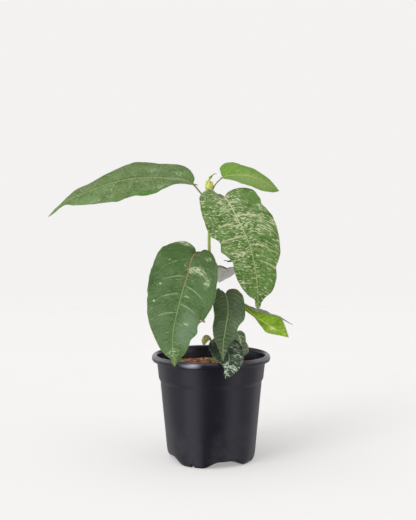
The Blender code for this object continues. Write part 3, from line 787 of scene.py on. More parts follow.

# %% [markdown]
# ### The two dark leaves over the pot
#
# One hangs in front of the stem and the other lies forward over the rim, where its midrib turns
# down. Both look a much deeper green than the rest. Part of that is shade, and since the soft light
# here comes from all round, that shade is painted into their colours along with their own deeper
# green.

# %% Dark leaves
LEAVES["leaf_dark_front"] = Leaf(
    node=178,
    stalk=((9, -6, 185),),
    rib=((15, -14, 182), (18, -28, 166), (15, -44, 149), (12, -61, 132), (12, -73, 119)),
    face=((0, -1, 0.9), (0, -1, 0.7), (0, -1, 0.6)),
    fold=(8, 4, 2),
    right=((3, -8), (8, -7), (12, -1), (16, 17), (14, 30), (13, 50), (8, 65), (4, 73), (2, 80)),
    left=((4, -4), (11, -3), (16, 4), (18, 17), (18, 30), (13, 42), (12, 55), (6, 68), (2, 80)),
    wave=(0.8, 5.0, 0.2),
    look=Look(
        green=(109, 130, 96), deep=(77, 96, 60), pale=(117, 139, 103), cream=(145, 166, 130),
        under=(120, 128, 110), cover=-0.14, veins=16, quilt=0.42,
        vein_crease_shade=0.75, vein_shift=(0.0, 0.5), vein_strength=0.25,
        rib=(171, 184, 120), rib_tip=(138, 161, 117), patches=((0, 74, 8, 8, 0.8),),
        # The pale tint at the base is painted light, where the leaves above shade the blade; the dark
        # one lower down is painted shade
        tints_and_painted_light=((-10, 20, 8, 6, 0.5, (91, 104, 96)), (0, 64, 14, 26, 1.0, (60, 81, 49)),
               (0, 8, 14, 14, 0.5, (120, 138, 104)), (-12, -1, 8, 5, 0.7, (112, 117, 66)),
               (-12, 40, 8, 12, 0.5, (112, 135, 101)), (6, 3, 3, 3, 0.7, (148, 128, 109))),
    ),
)
LEAVES["leaf_over_rim"] = Leaf(
    node=122,
    stalk=((11, -5, 131),),
    rib=((13, -12, 133), (16, -34, 126), (18, -65, 118), (16, -71, 110), (14, -72, 101)),
    face=((0, -0.5, 0.9), (0, -0.5, 0.9), (0, -0.9, 0.5), (0, -1, 0)),
    fold=(0, -4, -6, 0),
    right=((6, -4), (13, 3), (18, 14), (17, 30), (13, 53), (9, 59), (3, 65), (2, 70)),
    left=((6, -4), (13, 6), (17, 20), (16, 35), (14, 55), (11, 63), (7, 69), (3, 73)),
    wave=(1.0, 4.0, 0.5),
    look=Look(
        green=(63, 81, 61), deep=(28, 49, 30), pale=(121, 136, 117), cream=(197, 210, 194),
        under=(120, 128, 110), blush=(174, 190, 167), cover=-0.09, veins=9, quilt=0.8,
        streak=(0.14, 0.42), vein_crease_shade=0.2, vein_strength=0.2,
        rib=(131, 144, 121), rib_tip=(165, 178, 160),
        patches=((-10, 24, 7, 20, 1.5), (-2, 64, 12, 8, 1.7), (-8, 46, 7, 8, 1.2),
                 (10, 30, 8, 24, -1.0)),
        tints_and_painted_light=((10, 30, 8, 26, 0.6, (50, 66, 50)), (15, 4, 7, 9, 1.2, (121, 114, 95))),
    ),
)
print(len(LEAVES), "leaves measured so far")

# %% [markdown]
# ### The two small leaves in the pot
#
# Both stand just over the mix, a dark one at the right and an olive one at the stem's foot. The pot
# and the leaves above keep the light off them, so their colours are written much brighter than they
# come out. A lamp for them would be the other way, but it would light the mix as well.

# %% Small leaves
LEAVES["leaf_in_pot_right"] = Leaf(
    node=118,
    stalk=((19, -1, 128),),
    rib=((27, -4, 137), (30, -9, 136), (32, -17, 129), (35, -25, 117)),
    face=((0, -0.8, 0.6), (0, -0.9, 0.4), (0, -1, 0.1)),
    fold=(2, 2),
    right=((3, -2), (5, 4), (5, 18), (4, 25), (2, 29)),
    left=((3, -2), (6, 3), (6, 16), (7, 23), (6, 28), (3, 31)),
    wave=(0.4, 2.0, 0.1),
    stalk_radius=0.7,
    look=Look(
        green=(156, 174, 143), deep=(115, 134, 99), pale=(193, 211, 177), cream=(230, 248, 214),
        under=(156, 174, 143), blush=(214, 233, 199), cover=-0.06, veins=6, quilt=0.4,
        rib=(254, 255, 190), rib_tip=(221, 239, 187), stalk=(174, 190, 134),
        patches=((0, 12, 3, 8, 1),),
    ),
)
LEAVES["leaf_small_left"] = Leaf(
    node=120,
    stalk=((5, -3, 126),),
    rib=((0, -7, 131), (-4, -9, 133), (-7, -11, 131), (-8, -13, 126)),
    face=((0, -0.6, 0.8), (0, -0.8, 0.5)),
    fold=(6, 2),
    right=((2, -1), (4, 3), (3.5, 8), (2, 12)),
    left=((2, -1), (4, 3), (3.5, 8), (2, 12)),
    wave=(0.3, 2.0, 0.0),
    stalk_radius=0.6,
    look=Look(
        green=(243, 252, 134), deep=(181, 174, 110), pale=(243, 249, 161), cream=(255, 255, 210),
        under=(227, 239, 120), cover=-0.1, veins=4, quilt=0.25,
        patches=((3, 3, 4, 4, 0.8),), tints_and_painted_light=((4, 3, 4, 5, 1.4, (168, 151, 127)),),
    ),
)
print(len(LEAVES), "leaves measured so far")

# %% [markdown]
# ### The two leaves at the right
#
# The upper one is seen edge on, with its pale underside towards the viewer. The lower one is young
# and bright, and one half of it is much wider than the other. A mirrored half would be less to
# measure, but the leaf would look stamped out.

# %% Leaves at the right
LEAVES["leaf_right_grey"] = Leaf(
    node=144,
    stalk=((20, 8, 159),),
    rib=((35, 17, 164.5), (47, 19, 160.5), (68, 22, 154.5), (80, 23, 150.5), (92, 21, 144)),
    face=((0.2, 0.27, 1), (0.3, 0.27, 1), (0.4, 0.22, 1)),
    fold=(4, 0, 0),
    right=((5, -4), (12, -5), (17, 6), (18, 22), (12, 40), (4, 52)),
    left=((5, -4), (12, -5), (17, 6), (18, 22), (12, 40), (4, 52)),
    wave=(0.8, 2.5, 0.2),
    look=Look(
        green=(100, 120, 86), deep=(80, 100, 68), pale=(130, 144, 116), cream=(190, 194, 160),
        under=(188, 188, 192), cover=-0.1, veins=7, quilt=0.2,
        rib=(170, 170, 166), rib_tip=(150, 150, 150),
    ),
)
LEAVES["leaf_right_bright"] = Leaf(
    node=152,
    stalk=((21, -4, 165),),
    rib=((35, -8, 167), (47, -15, 159), (58, -24, 152), (70, -32, 146), (82, -36, 138)),
    face=((0.3, -0.6, 0.8), (0, -0.8, 0.6), (0, -0.8, 0.6)),
    fold=(10, 6, 2),
    right=((3, -2), (4, 6), (2.5, 17), (4.5, 25), (7, 33), (9.5, 40), (8, 46), (5, 52), (2.5, 57)),
    left=((3, -2), (4, 8), (7, 17), (10.5, 23), (10.5, 29), (14.5, 35), (14, 40), (11, 48),
          (7, 54), (3, 59)),
    wave=(0.6, 3.0, 0.3),
    look=Look(
        green=(145, 184, 56), deep=(106, 140, 0), pale=(177, 208, 104), cream=(218, 218, 164),
        under=(150, 165, 100), blush=(233, 206, 157), cover=-0.13, veins=6, quilt=0.5,
        rib=(189, 211, 109), rib_tip=(184, 211, 101), stalk=(140, 152, 46),
        patches=((2, 42, 4, 8, 2.0),),
        tints_and_painted_light=((5, 26, 3, 14, 0.8, (104, 140, 16)), (-6, 32, 6, 10, 0.6, (157, 204, 50)),
               (0, 4, 6, 8, 0.8, (140, 152, 53))),
    ),
)
print(len(LEAVES), "leaves measured")

# %% [markdown]
# ### The blade as a formula
#
# The midrib is a curve in space. At each place y along it there is a small frame: forward, up out of
# the upper side, and to the right. A point x to the side goes right by x, leaning up a little, so
# that the two halves fold along the rib. The rows of the grid don't run straight across: they sweep
# forward to the margin, as the side veins do, so that a vein is simply a row.


# %% Stem line and blade numbers
# The stem: points of its middle line, and its radius at each
STEM_LINE = ((11, 0, 63), (11, 0, 84), (11, 0, 104), (8, 0, 136), (4, 0, 174), (0, 0, 202),
             (-2, 0, 229), (-2, 0, 262), (-2, 0, 278), (-1, 0, 292))
STEM_RADII = (2.4, 3.0, 3.1, 2.8, 2.4, 2.1, 1.7, 1.5, 1.4, 1.3)
INTO_STEM = 0.6  # how far inside the stem's skin a stalk starts
JOIN = 10.0  # within this of its base a blade follows its stalk's bend only along the midrib
LOBE_REACH = 5.0  # how far to the side that bend is felt
RIB_RUN = 1.35  # how slowly the rows start along the midrib, so that they fan in the base lobes
VEIN_SWEEP = 1.5  # how late a row of the blade turns from the midrib's place to the margin's


# %% Blade surface
class Blade:
    """The middle surface of one leaf, over flat places on it: x across, y along the midrib."""

    def __init__(self, leaf):
        self.leaf = leaf
        self.line = (self.stalk_start(),) + leaf.stalk + leaf.rib
        knots = chord_knots(self.line)
        self.knots = knots - knots[1 + len(leaf.stalk)]
        self.length = self.knots[-1]
        self.half = max(x for x, y in leaf.right + leaf.left)

    def stalk_start(self):
        """A point just inside the stem's skin, on the side that the stalk leaves it."""
        heights = [z for x, y, z in STEM_LINE]
        stem = np.array([np.interp(self.leaf.node, heights, axis) for axis in zip(*STEM_LINE)])
        away = unit(np.array(self.leaf.stalk[0]) - stem)
        reach = np.interp(self.leaf.node, heights, STEM_RADII) - INTO_STEM
        return tuple(stem + unit(away * (1, 1, 0)) * reach)

    def frame(self, y):
        """Point of the midrib at y, and the unit vectors along it, out of the upper side, and to
        the right: along is the line's own direction, face is made square to it, and right is
        along x face. Below 0 this is the stalk."""
        low, high = self.knots[0], self.knots[-1]
        point = smooth(self.line, self.knots, np.clip(y, low, high))
        ahead = smooth(self.line, self.knots, np.clip(y + 0.5, low, high))
        behind = smooth(self.line, self.knots, np.clip(y - 0.5, low, high))
        along = unit(ahead - behind)
        face = spread(self.leaf.face, np.clip(y / self.length, 0, 1))
        face = unit(face - along * (face * along).sum(-1, keepdims=True))
        return point, along, face, np.cross(along, face)

    def surface(self, x, y):
        """point(y) + x cos(fold) * right + (|x| sin(fold) + wave) * face. Near the base the blade
        runs on straight behind its stalk's bend, so that the base lobes stay in its own plane."""
        point, along, face, side = self.frame(np.maximum(y, 0))
        point = point + along * np.minimum(y, 0)[..., None]
        ahead = np.maximum(y, JOIN)
        far_point, far_along, far_face, far_side = self.frame(ahead)
        far_point = far_point + far_along * (y - ahead)[..., None]
        near = np.exp(-((x / LOBE_REACH) ** 2))[..., None]
        point = near * point + (1 - near) * far_point
        face = unit(near * face + (1 - near) * far_face)
        side = unit(near * side + (1 - near) * far_side)
        share = np.clip(y / self.length, 0, 1)
        fold = np.radians(spread(np.array(self.leaf.fold, float)[:, None], share)[..., 0])
        height, number, start = self.leaf.wave
        out = np.abs(x) / self.half
        phase = 2 * np.pi * (number * share + start + 0.25 * np.sign(x))
        lift = np.abs(x) * np.sin(fold) + height * out**2 * np.sin(phase)
        lift = lift + 0.3 * height * out**4 * np.sin(2.7 * phase + x * 0.1)
        return point + side * (x * np.cos(fold))[..., None] + face * lift[..., None]

    def half_rows(self, outline, shares, across):
        """Flat places of one half. Row s leaves the midrib at length * s^1.35 and meets the margin
        at the share s of the outline, and sweeps between them as across^1.5."""
        margin = ((self.leaf.stalk_radius, 0.0),) + outline + ((0.0, self.length),)
        knots = chord_knots(margin)
        edge = smooth(margin, knots, shares * knots[-1])
        root = self.length * shares**RIB_RUN
        x = np.maximum(edge[:, :1], 0.02) * across
        y = root[:, None] + (edge[:, 1:] - root[:, None]) * across**VEIN_SWEEP
        return x, y


# %% [markdown]
# ### Veins
#
# Side veins leave the midrib almost square to it and bend towards the tip. Behind the stalk they fan
# out into the base lobes instead. One number per place says all of that: it is whole on a vein and
# half between two, so relief, colour and flecks can all follow the veins by reading it.


# %% Vein number
FAN = 26  # degrees between two veins in the base lobes


def vein_number(x, y, half, spacing, look):
    """(y - bend) / spacing, where bend = half (a t + b t^2.2) and t = |x| / half, with a and b of
    the half that x is in. Behind the base it is the angle back from straight across, over that of
    the fan. The halves are shifted, because their veins leave the midrib in turn."""
    t = np.abs(x) / half
    near, far = np.where(x[..., None] < 0, look.bend[1], look.bend[0]).T
    ahead = y - half * (near.T * t + far.T * t**2.2)
    fan = -np.arctan2(-ahead, np.abs(x) + 0.5) / math.radians(FAN)
    shift = np.where(x < 0, look.vein_shift[1], look.vein_shift[0])
    return np.where(ahead > 0, ahead / spacing, fan) - shift


# %% [markdown]
# ### Thickness and relief
#
# The real blade is half a millimetre thick and puckered: it sinks along each side vein and domes
# between two, and the veins stand out below as cords. A bump map could fake that, but the leaves
# hang edge-on to the light, where a fake shows, so the domes and the cords are in the mesh.


# %% Grid of a blade
HALF_COLUMNS = 28  # points across each half


def blade_grid(blade, leaf):
    """Flat places of the grid, its columns from -1 at the left margin to 1 at the right one, and
    the share s of each row. Column k of a half is at 0.5 - 0.5 cos(pi k / n), and near the margin x
    is uneven by a little over one part in a hundred."""
    rows = int(np.clip(blade.length * 1.5, 70, 200))
    across = 0.5 - 0.5 * np.cos(np.pi * np.linspace(0, 1, HALF_COLUMNS))
    columns = np.concatenate((-across[:0:-1], across))
    shares = np.concatenate(([0.002, 0.006], np.linspace(0.012, 0.996, rows)))
    right_x, right_y = blade.half_rows(leaf.right, shares, across)
    left_x, left_y = blade.half_rows(leaf.left, shares, across)
    x = np.hstack((-left_x[:, :0:-1], right_x))
    y = np.hstack((left_y[:, :0:-1], right_y))
    a, s = np.abs(columns), shares[:, None]
    uneven = 1 + 0.012 * ripple(0 * x + 9 * np.sign(columns), y, 7, 31) * (1 - s**6) * a**8
    return x * uneven, y, columns, s


# %% Sides of a blade
BLADE = 0.5  # thickness of a blade


def blade_sides(blade, leaf, x, y, v, a, s):
    """The upper and the lower side. The middle surface is lifted by quilt (|sin(pi v)|^0.8 - 0.5)
    for vein number v. On it lies half the blade's thickness times sqrt(1 - a^6), where a is the
    share of the way to the margin, plus bell curves over the midrib and the side veins."""
    radius, spacing = leaf.stalk_radius, blade.length / leaf.look.veins
    middle = blade.surface(x, y)
    face = unit(np.cross(np.gradient(middle, axis=1), np.gradient(middle, axis=0)))
    fade = (1 - np.exp(-np.abs(x) / 3)) * (1 - a**5) * (1 - s**8) * rise(s, 0, 0.05)
    dome = np.abs(np.sin(np.pi * v)) ** 0.8 - 0.5
    sway = 0.011 * blade.half * ripple(x, y, 0.9 * blade.half, 17) * (1 - np.exp(-np.abs(x) / 6))
    pucker = 0.12 * ripple(x, v * spacing, 4.5, 23) * fade
    middle = middle + face * (leaf.look.quilt * dome * fade + sway + pucker)[..., None]

    thick = BLADE / 2 * np.sqrt(1 - a**6) + 0 * s
    rib = radius * (1 - s) ** 0.8 * np.exp(-((x / (radius * (1.15 - s))) ** 2))
    off_vein = np.abs(v - np.round(v)) * spacing
    cord = 0.3 * np.exp(-((off_vein / 0.7) ** 2)) * fade * (1 - 0.6 * a)
    upper = middle + face * (thick - 0.3 * rib - 0.35 * cord)[..., None]
    lower = middle - face * (thick + rib + cord)[..., None]
    return upper, lower


def stalk_sides(blade, radius, columns):
    """The upper and the lower half of the stalk, its places along the midrib's line and its radius
    at each: point + r sin(c pi / 2) right +- r cos(c pi / 2) face for column c, with r half as large
    again at the stem."""
    steps = max(6, int(-blade.knots[0] / 0.9))
    stalk_y = np.linspace(blade.knots[0], 0, steps, endpoint=False)
    point, _, out, side = blade.frame(stalk_y)
    girth = radius * (1 + 0.5 * np.exp(-(((stalk_y - stalk_y[0]) / 2.5) ** 2)))
    angle = columns * np.pi / 2
    beside = side[:, None] * (girth[:, None] * np.sin(angle))[..., None]
    above = out[:, None] * (girth[:, None] * np.cos(angle))[..., None]
    return point[:, None] + beside + above, point[:, None] + beside - above, stalk_y, girth


# %% Leaf rings
def leaf_rings(blade, leaf):
    """Rings from the stalk's foot to the tip, across the upper side and back along the lower one,
    with the flat places, the vein numbers and the marks for the finish to read."""
    x, y, columns, s = blade_grid(blade, leaf)
    v = vein_number(x, y, blade.half, blade.length / leaf.look.veins, leaf.look)
    upper, lower = blade_sides(blade, leaf, x, y, v, np.abs(columns), s)
    stalk_above, stalk_below, stalk_y, girth = stalk_sides(blade, leaf.stalk_radius, columns)
    top = np.vstack((stalk_above, upper))
    bottom = np.vstack((stalk_below, lower))
    rings = np.hstack((top, bottom[:, -2:0:-1]))

    def both(on_stalk, on_blade):
        """Numbers for the points of both sides and the two ends."""
        values = np.vstack((on_stalk + 0 * np.outer(girth, columns), on_blade))
        values = np.hstack((values, values[:, -2:0:-1])).ravel()
        return np.append(values, values[[0, -1]])

    low = np.zeros(rings.shape[:2])
    low[:, len(columns):] = 1
    low[:, [0, len(columns) - 1]] = 0.5
    uvs = {
        "flat": np.column_stack((both(np.outer(girth, columns), x), both(stalk_y[:, None], y))),
        "vein": np.column_stack((both(columns, columns + 0 * s), both(0, v))),
    }
    marks = {"underside": np.append(low.ravel(), (0, 0)), "stalk": both(1, 0 * x)}
    return rings, uvs, marks


# %% [markdown]
# ### Leaf finish
#
# The flecks of a clown fig lie along its side veins. A noise texture read over the vein number and
# the distance from the midrib, and stretched along the vein, gives streaks that bend with the veins
# for free. Patches raise or lower the noise before it is cut off, which moves flecks to where this
# plant has them without any picture.


# %% Places and masks on a leaf
class LeafFinish(Finish):
    """A leaf's material, with what its patterns read: flat is the place (x, y) on the blade, row the
    vein number as a length, off_vein how far the nearest side vein is, edge the share of the way
    from the midrib to the margin, and long the length of the midrib."""

    def __init__(self, name, leaf):
        self.look, self.long = leaf.look, Blade(leaf).length
        self.seed = len(bpy.data.materials) * 7.0  # shifts the noise from leaf to leaf
        super().__init__(name)
        spacing = self.long / leaf.look.veins
        self.flat = self.node("ShaderNodeUVMap", {"uv_map": "flat"})
        self.x, self.y, _ = self.parts(self.flat)
        t, v, _ = self.parts(self.node("ShaderNodeUVMap", {"uv_map": "vein"}))
        self.edge, self.row = abs(t), v * spacing
        self.off_vein = (0.5 - abs(v.fraction() - 0.5)) * spacing
        self.soft = self.noise(self.flat, 0.25, 2.0)
        self.flecks()
        taper = 0.9 - self.y * (0.55 / self.long)
        rib = abs(self.x) / taper / leaf.stalk_radius
        self.rib = rib.step(leaf.look.rib_width, leaf.look.rib_width * 0.4)

    def inside(self, px, py, wide, high):
        """1 near the middle of an ellipse round (px, py), and 0 a little past its edge."""
        off = self.vector((self.x - px) / wide, (self.y - py) / high)
        return self.length(off).step(1.15, 0.35)

    def streaks(self, x, row, shift, detail=3.0):
        """Noise over two lengths, with a shift of its own."""
        return self.noise(self.vector(x, row, self.seed + shift), 1.0, detail, 0.6)

    def flecks(self):
        """Works out the wide pale flecks, the small bright ones and the tone of the green. A fleck is
        where a noise stretched along the side veins is over a limit, after the patches and the
        nearness of a side vein have raised it."""
        x, row = self.x, self.row
        along, across = self.look.streak
        level = self.streaks(x * along, row * across, 0) * 0.5
        level = level + self.streaks(x * 1.9 * along, row * 1.5 * across, 3, 2.0) * 0.5
        level = level + self.look.cover
        for *place, strength in self.look.patches:
            level = level + self.inside(*place) * (0.07 * strength)
        level = level + self.off_vein.step(3.5, 0.0) * 0.04
        mottle = self.streaks(x * 1.5 * along, row * 0.9 * across, 9)
        self.pale = (level + mottle * 0.5).step(0.72, 0.82)
        self.fleck = (level + self.soft * 0.2).step(0.625, 0.67)
        cloud, fine = self.noise(self.flat, 0.07, 2.0), self.noise(self.flat, 0.5, 3.0)
        self.tone = cloud * 0.35 + mottle * 0.4 + fine * 0.25


# %% Leaf finish
def upper_side(f):
    """Two greens, and over them in turn: tints, some of them painted sheen and shade, painted shade
    in the creases beside the side veins, flecks, the pale side veins where a noise lets them
    through, the bright ones, and the pale margin."""
    look = f.look
    near_vein = f.off_vein.step  # near_vein(2.6, 0.3) is 1 within 0.3 mm of a vein and 0 past 2.6 mm
    colour = f.mix(f.tone.step(0.42, 0.56), look.deep, look.green)
    for *place, share, tint in look.tints_and_painted_light:
        there = f.inside(*place) * (f.soft * 0.8 + 0.6) * share
        colour = f.mix(there * f.tone.step(0.25, 0.5), colour, tint)
    # Painted shade in the creases where the blade sinks along each side vein
    colour = f.mix(near_vein(2.6, 0.3) * look.vein_crease_shade, colour, look.deep)
    colour = f.mix(f.pale * 0.8, colour, look.pale)
    spots = f.mix(f.noise(f.flat, 0.2, 1.0).step(0.5, 0.6), look.cream, look.blush)
    colour = f.mix(f.fleck * 0.9, colour, spots)

    broken = f.noise(f.vector(f.x * 0.22, f.row * 0.08, f.seed + 5), 1.0, 2.0).step(0.36, 0.6)
    vein = near_vein(0.7, 0.15) * f.edge.step(0.95, 0.5) * (broken * 0.8 + 0.2)
    colour = f.mix(vein * look.vein_strength, colour, look.rib_tip)
    for place in look.bright_veins:
        lit = f.inside(*place) * near_vein(1.2, 0.2) * (broken * 0.5 + 0.5)
        colour = f.mix(lit, colour, look.blush)
    return f.mix(f.edge.step(0.97, 1.0) * 0.4, colour, look.pale)


def lower_side(f, net):
    """Paler and more even, with the side veins and the net between them showing as cords."""
    colour = f.mix(f.tone.step(0.3, 0.7) * 0.3, f.look.under, f.look.green)
    colour = f.mix(f.pale * 0.4, colour, f.look.pale)
    cords = f.off_vein.step(0.9, 0.2).most(net.step(0.14, 0.0) * 0.5)
    return f.mix(cords * 0.6, colour, f.look.rib_tip)


def leaf_finish(name, leaf):
    """Both sides under the midrib, told apart by the mark of the underside, and then the stalk."""
    f, look = LeafFinish(name, leaf), leaf.look
    net = f.node("ShaderNodeTexVoronoi", {"feature": "DISTANCE_TO_EDGE"},
                 {"Vector": f.vector(f.x, f.row), "Scale": 0.42})
    ribbed = f.mix(f.y.step(20.0, 70.0), look.rib, look.rib_tip)
    above = f.mix(f.rib * 0.9, upper_side(f), ribbed)
    below = f.mix(f.rib * 0.7, lower_side(f, net), ribbed)
    colour = f.mix(f.own_number("underside"), above, below)
    colour = f.mix(f.own_number("stalk").step(0.3, 0.9), colour, look.stalk)
    grain = f.noise(f.flat, 1.2, 3.0, 0.6)
    f.feed("Base Color", colour)
    f.feed("Roughness", grain * 0.2 + f.fleck * 0.05 + 0.42)
    f.feed("Specular IOR Level", 0.25)
    f.bump(grain * 0.35 + net.step(0.0, 0.25) * 0.65, 0.22, 0.7)
    return f


# %% Leaves on the plant
leaf_skins = {}
for name, leaf in LEAVES.items():
    rings, uvs, marks = leaf_rings(Blade(leaf), leaf)
    leaf_skins[name] = rings
    blade_piece = skin(name + "_blade", rings, leaf_finish(name, leaf), uvs=uvs, marks=marks)
    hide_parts(name)

# %% [markdown]
# ## Potting mix
#
# The mix is coconut fibre and bark, reddish where it has dried, with moss starting round the stem.
# Its surface is a closed skin like the pot's, whose rings shift from the pot's centre to the stem's
# and whose height is a formula, so that the loose bits can be set down at exactly that height.

# %% Surface of the mix
MIX_EDGE, MIX_RISE = 101.2, 2.5  # height at the wall, and how much higher the middle is
MIX_RADIUS = 56.7
STEM_FOOT = 11.0  # where the stem stands, along X
HOLE_RIM, HOLE = 3.3, 3.2  # radius of the hole that it stands in, at the top and below


def mix_height(x, y):
    """Edge height + rise (1 - (r / 56)^2) at r from the middle, plus bumps of three sizes."""
    dome = MIX_EDGE + MIX_RISE * (1 - (x * x + y * y) / 56**2)
    bumps = 0.9 * ripple(x, y, 16, 1) + 0.55 * ripple(x, y, 6, 2) + 0.3 * ripple(x, y, 2.8, 3)
    return dome + bumps


def mix_rings(sides=240):
    """Rings from the middle of the underside out, up inside the wall, in over the top to the stem,
    and down into the hole that the stem fills: (centre + radius cos t, radius sin t, height). The
    wall is given as (radius, height, share of the floor's lift)."""
    turn = np.linspace(0, 2 * np.pi, sides, endpoint=False)
    wall = np.array(((16, 3.2, 0), (30, 3.8, 1), (42.5, 3.2, 1), (44, 6.8, 0.6), (45.6, 13, 0.1),
                     (52, 83, 0), (54.6, 92, 0), (MIX_RADIUS, 99.5, 0)))
    share = np.linspace(0, 1, 96)
    top = np.column_stack((MIX_RADIUS + (HOLE_RIM - MIX_RADIUS) * share, 0 * share, 0 * share))
    hole = np.array(((HOLE, 96, 0), (HOLE, 62, 0)), float)
    centre = np.concatenate((0 * wall[:, 0], STEM_FOOT * share**1.5, (STEM_FOOT, STEM_FOOT)))
    profile = np.concatenate((wall, top, hole))
    x = centre[:, None] + profile[:, :1] * np.cos(turn)
    y = profile[:, :1] * np.sin(turn)
    z = np.broadcast_to(profile[:, 1, None], x.shape).copy()
    z[: len(wall)] += wall[:, 2:] * foot_lift(np.degrees(turn))
    over = slice(len(wall), len(wall) + len(top))
    z[over] = mix_height(x[over], y[over])
    return np.stack((x, y, z), -1)


# %% [markdown]
# ### Coir finish
#
# The mix has no one colour. Three noises pick between dark wet crumbs, red coir and dry tan, and a
# fourth, coarser one lets green algae show. The loose bits share the finish, and each carries a
# number of its own that shifts it towards one of the colours.

# %% Mix finish
mix = Finish("potting_mix")
spot = mix.place()
own = mix.own_number("tone")
crumb = mix.noise(spot, 0.9, 4.0, 0.65)
patch = mix.noise(spot, 0.14, 3.0)
dry = (crumb * 0.7 + patch * 0.3 + own - 0.5).step(0.42, 0.62)
colour = mix.mix(dry, (84, 54, 44), (212, 118, 92))
colour = mix.mix((patch + own * 0.6).step(0.72, 1.0) * 0.7, colour, (206, 160, 120))
moss_mask = mix.noise(spot, 0.07, 2.0).step(0.6, 0.68) * crumb.step(0.4, 0.6)
colour = mix.mix(moss_mask * 0.5, colour, (110, 124, 60))
mix.feed("Base Color", colour)
mix.feed("Roughness", crumb * 0.15 + 0.8)
mix.feed("Specular IOR Level", 0.25)
mix.bump(crumb, 0.8)
print(mix)

# %% Mix
mix_points = mix_rings()
soil = skin("potting_mix_surface", mix_points, mix,
            marks={"tone": np.full(mix_points[..., 0].size + 2, 0.5)})
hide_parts("soil")

# %% [markdown]
# ### Loose bits
#
# Hundreds of crumbs, fibres and moss sprigs need only a few dozen faces each. One is worked out, and
# array sums then turn, stretch and move all the copies at once, with a fixed draw of random numbers.
# A particle system would scatter them too, but would hide where each of them lands.


# %% Scattered copies
def repeated(faces, copies, size):
    """Faces of many copies of a shape: copy n counts its points from n * size on."""
    shift = np.arange(copies)[:, None, None] * size
    return [(group + shift).reshape(-1, group.shape[1]) for group in faces]


def scattered(name, shape, faces, places, turns, sizes, finish, tones):
    """Copies of one small shape as one piece. Each point p becomes place + turn (size * p), with
    turns as 3 x 3 arrays."""
    points = places[:, None] + np.einsum("nij,nkj->nki", turns, sizes[:, None] * shape)
    groups = repeated(faces, len(places), len(shape))
    marks = {"tone": np.repeat(tones, len(shape))}
    return piece(name, points.reshape(-1, 3), groups, finish, marks=marks)


def turned(draw, count, lean):
    """Turns about the upright by any angle a, after a lean b of up to `lean` radians about X: the
    rows (cos a, -sin a, 0), (sin a, cos a, 0), (0, 0, 1), times those of the lean."""
    spin, tilt = draw.uniform(0, 2 * np.pi, count), draw.uniform(-lean, lean, count)
    none, one = 0 * spin, 0 * spin + 1
    upright = (np.cos(spin), -np.sin(spin), none, np.sin(spin), np.cos(spin), none, none, none, one)
    leaning = (one, none, none, none, np.cos(tilt), -np.sin(tilt), none, np.sin(tilt), np.cos(tilt))
    first, second = (np.stack(rows, -1).reshape(-1, 3, 3) for rows in (upright, leaning))
    return first @ second


# %% Places on the mix
LOOSE_REACH = 54  # no loose bit lies farther from the middle
STEM_CLEAR = 5  # nor nearer to the middle of the stem
CLUMP = 3.4  # how widely the bits of one clump are spread


def on_mix(draw, count, sink, near=None):
    """Random places on the mix, or near given places, a little into it and clear of the stem."""
    angle = draw.uniform(0, 2 * np.pi, count)
    radius = LOOSE_REACH * np.sqrt(draw.uniform(0, 1, count))
    x, y = radius * np.cos(angle), radius * np.sin(angle)
    if near is not None:
        middle = np.asarray(near, float)[draw.integers(0, len(near), count)]
        x, y = middle.T + draw.normal(0, CLUMP, (2, count))
    reach = np.minimum(1, LOOSE_REACH / np.hypot(x, y))
    x, y = x * reach, y * reach
    push = np.maximum(1, STEM_CLEAR / np.maximum(np.hypot(x - STEM_FOOT, y), 0.1))
    x, y = STEM_FOOT + (x - STEM_FOOT) * push, y * push
    return np.column_stack((x, y, mix_height(x, y) - sink))


# %% Crumbs
draw = np.random.default_rng(11)

count = 620  # lumpy balls, whose ring at latitude v has the radius cos v and the height sin v
latitude = np.linspace(-1.2, 1.2, 4)[:, None]
around = np.linspace(0, 2 * np.pi, 7, endpoint=False)
ball = np.stack((np.cos(latitude) * np.cos(around), np.cos(latitude) * np.sin(around),
                 np.sin(latitude) + 0 * around), -1)
ball = ball * draw.uniform(0.75, 1.25, ball.shape[:2])[..., None]
sizes = draw.uniform(0.5, 1.7, (count, 1)) * draw.uniform((0.6, 0.6, 0.35), (1.5, 1, 0.8), (count, 3))
crumbs = scattered("mix_crumbs", *closed(ball), on_mix(draw, count, 0.1), turned(draw, count, 0.5),
                   sizes, mix, draw.uniform(0.2, 0.8, count))

# %% Fibres
count = 260  # thin tubes along a shallow arc
along = np.linspace(-1, 1, 7)
arc = np.column_stack((along, 0.25 * along**2 + 0.12 * along**3, 0.14 - 0.2 * along**2))
strand = tube(arc, 0.028, 3, (0, 0, 1))
sizes = np.repeat(draw.uniform(3, 8, (count, 1)), 3, 1)
fibres = scattered("mix_fibres", *closed(strand), on_mix(draw, count, -0.2),
                   turned(draw, count, 0.25), sizes, mix, draw.uniform(0.45, 0.95, count))

# %% [markdown]
# ### Moss
#
# Moss has started in clumps where the mix stays damp, bright green and far too small to see leaf by
# leaf. A green noise on the mix would give the colour but no tufts. So each sprig is a star of six
# pointed leaflets, and the sprigs are dropped round a few middles.

# %% Moss finish
moss = Finish("moss_green")
own = moss.own_number("tone")
speck = moss.noise(moss.place(), 1.5, 2.0)
moss.feed("Base Color", moss.mix((speck * 0.5 + own * 0.5).step(0.2, 0.8), (96, 124, 56),
                                 (184, 204, 124)))
moss.feed("Roughness", speck * 0.1 + 0.6)
print(moss)

# %% Moss sprigs
MOSS_NEAR = ((3, 26), (6, 20), (-2, 34), (16, 9), (8, -10), (-34, 24), (30, 26), (-28, -16), (26, -26))

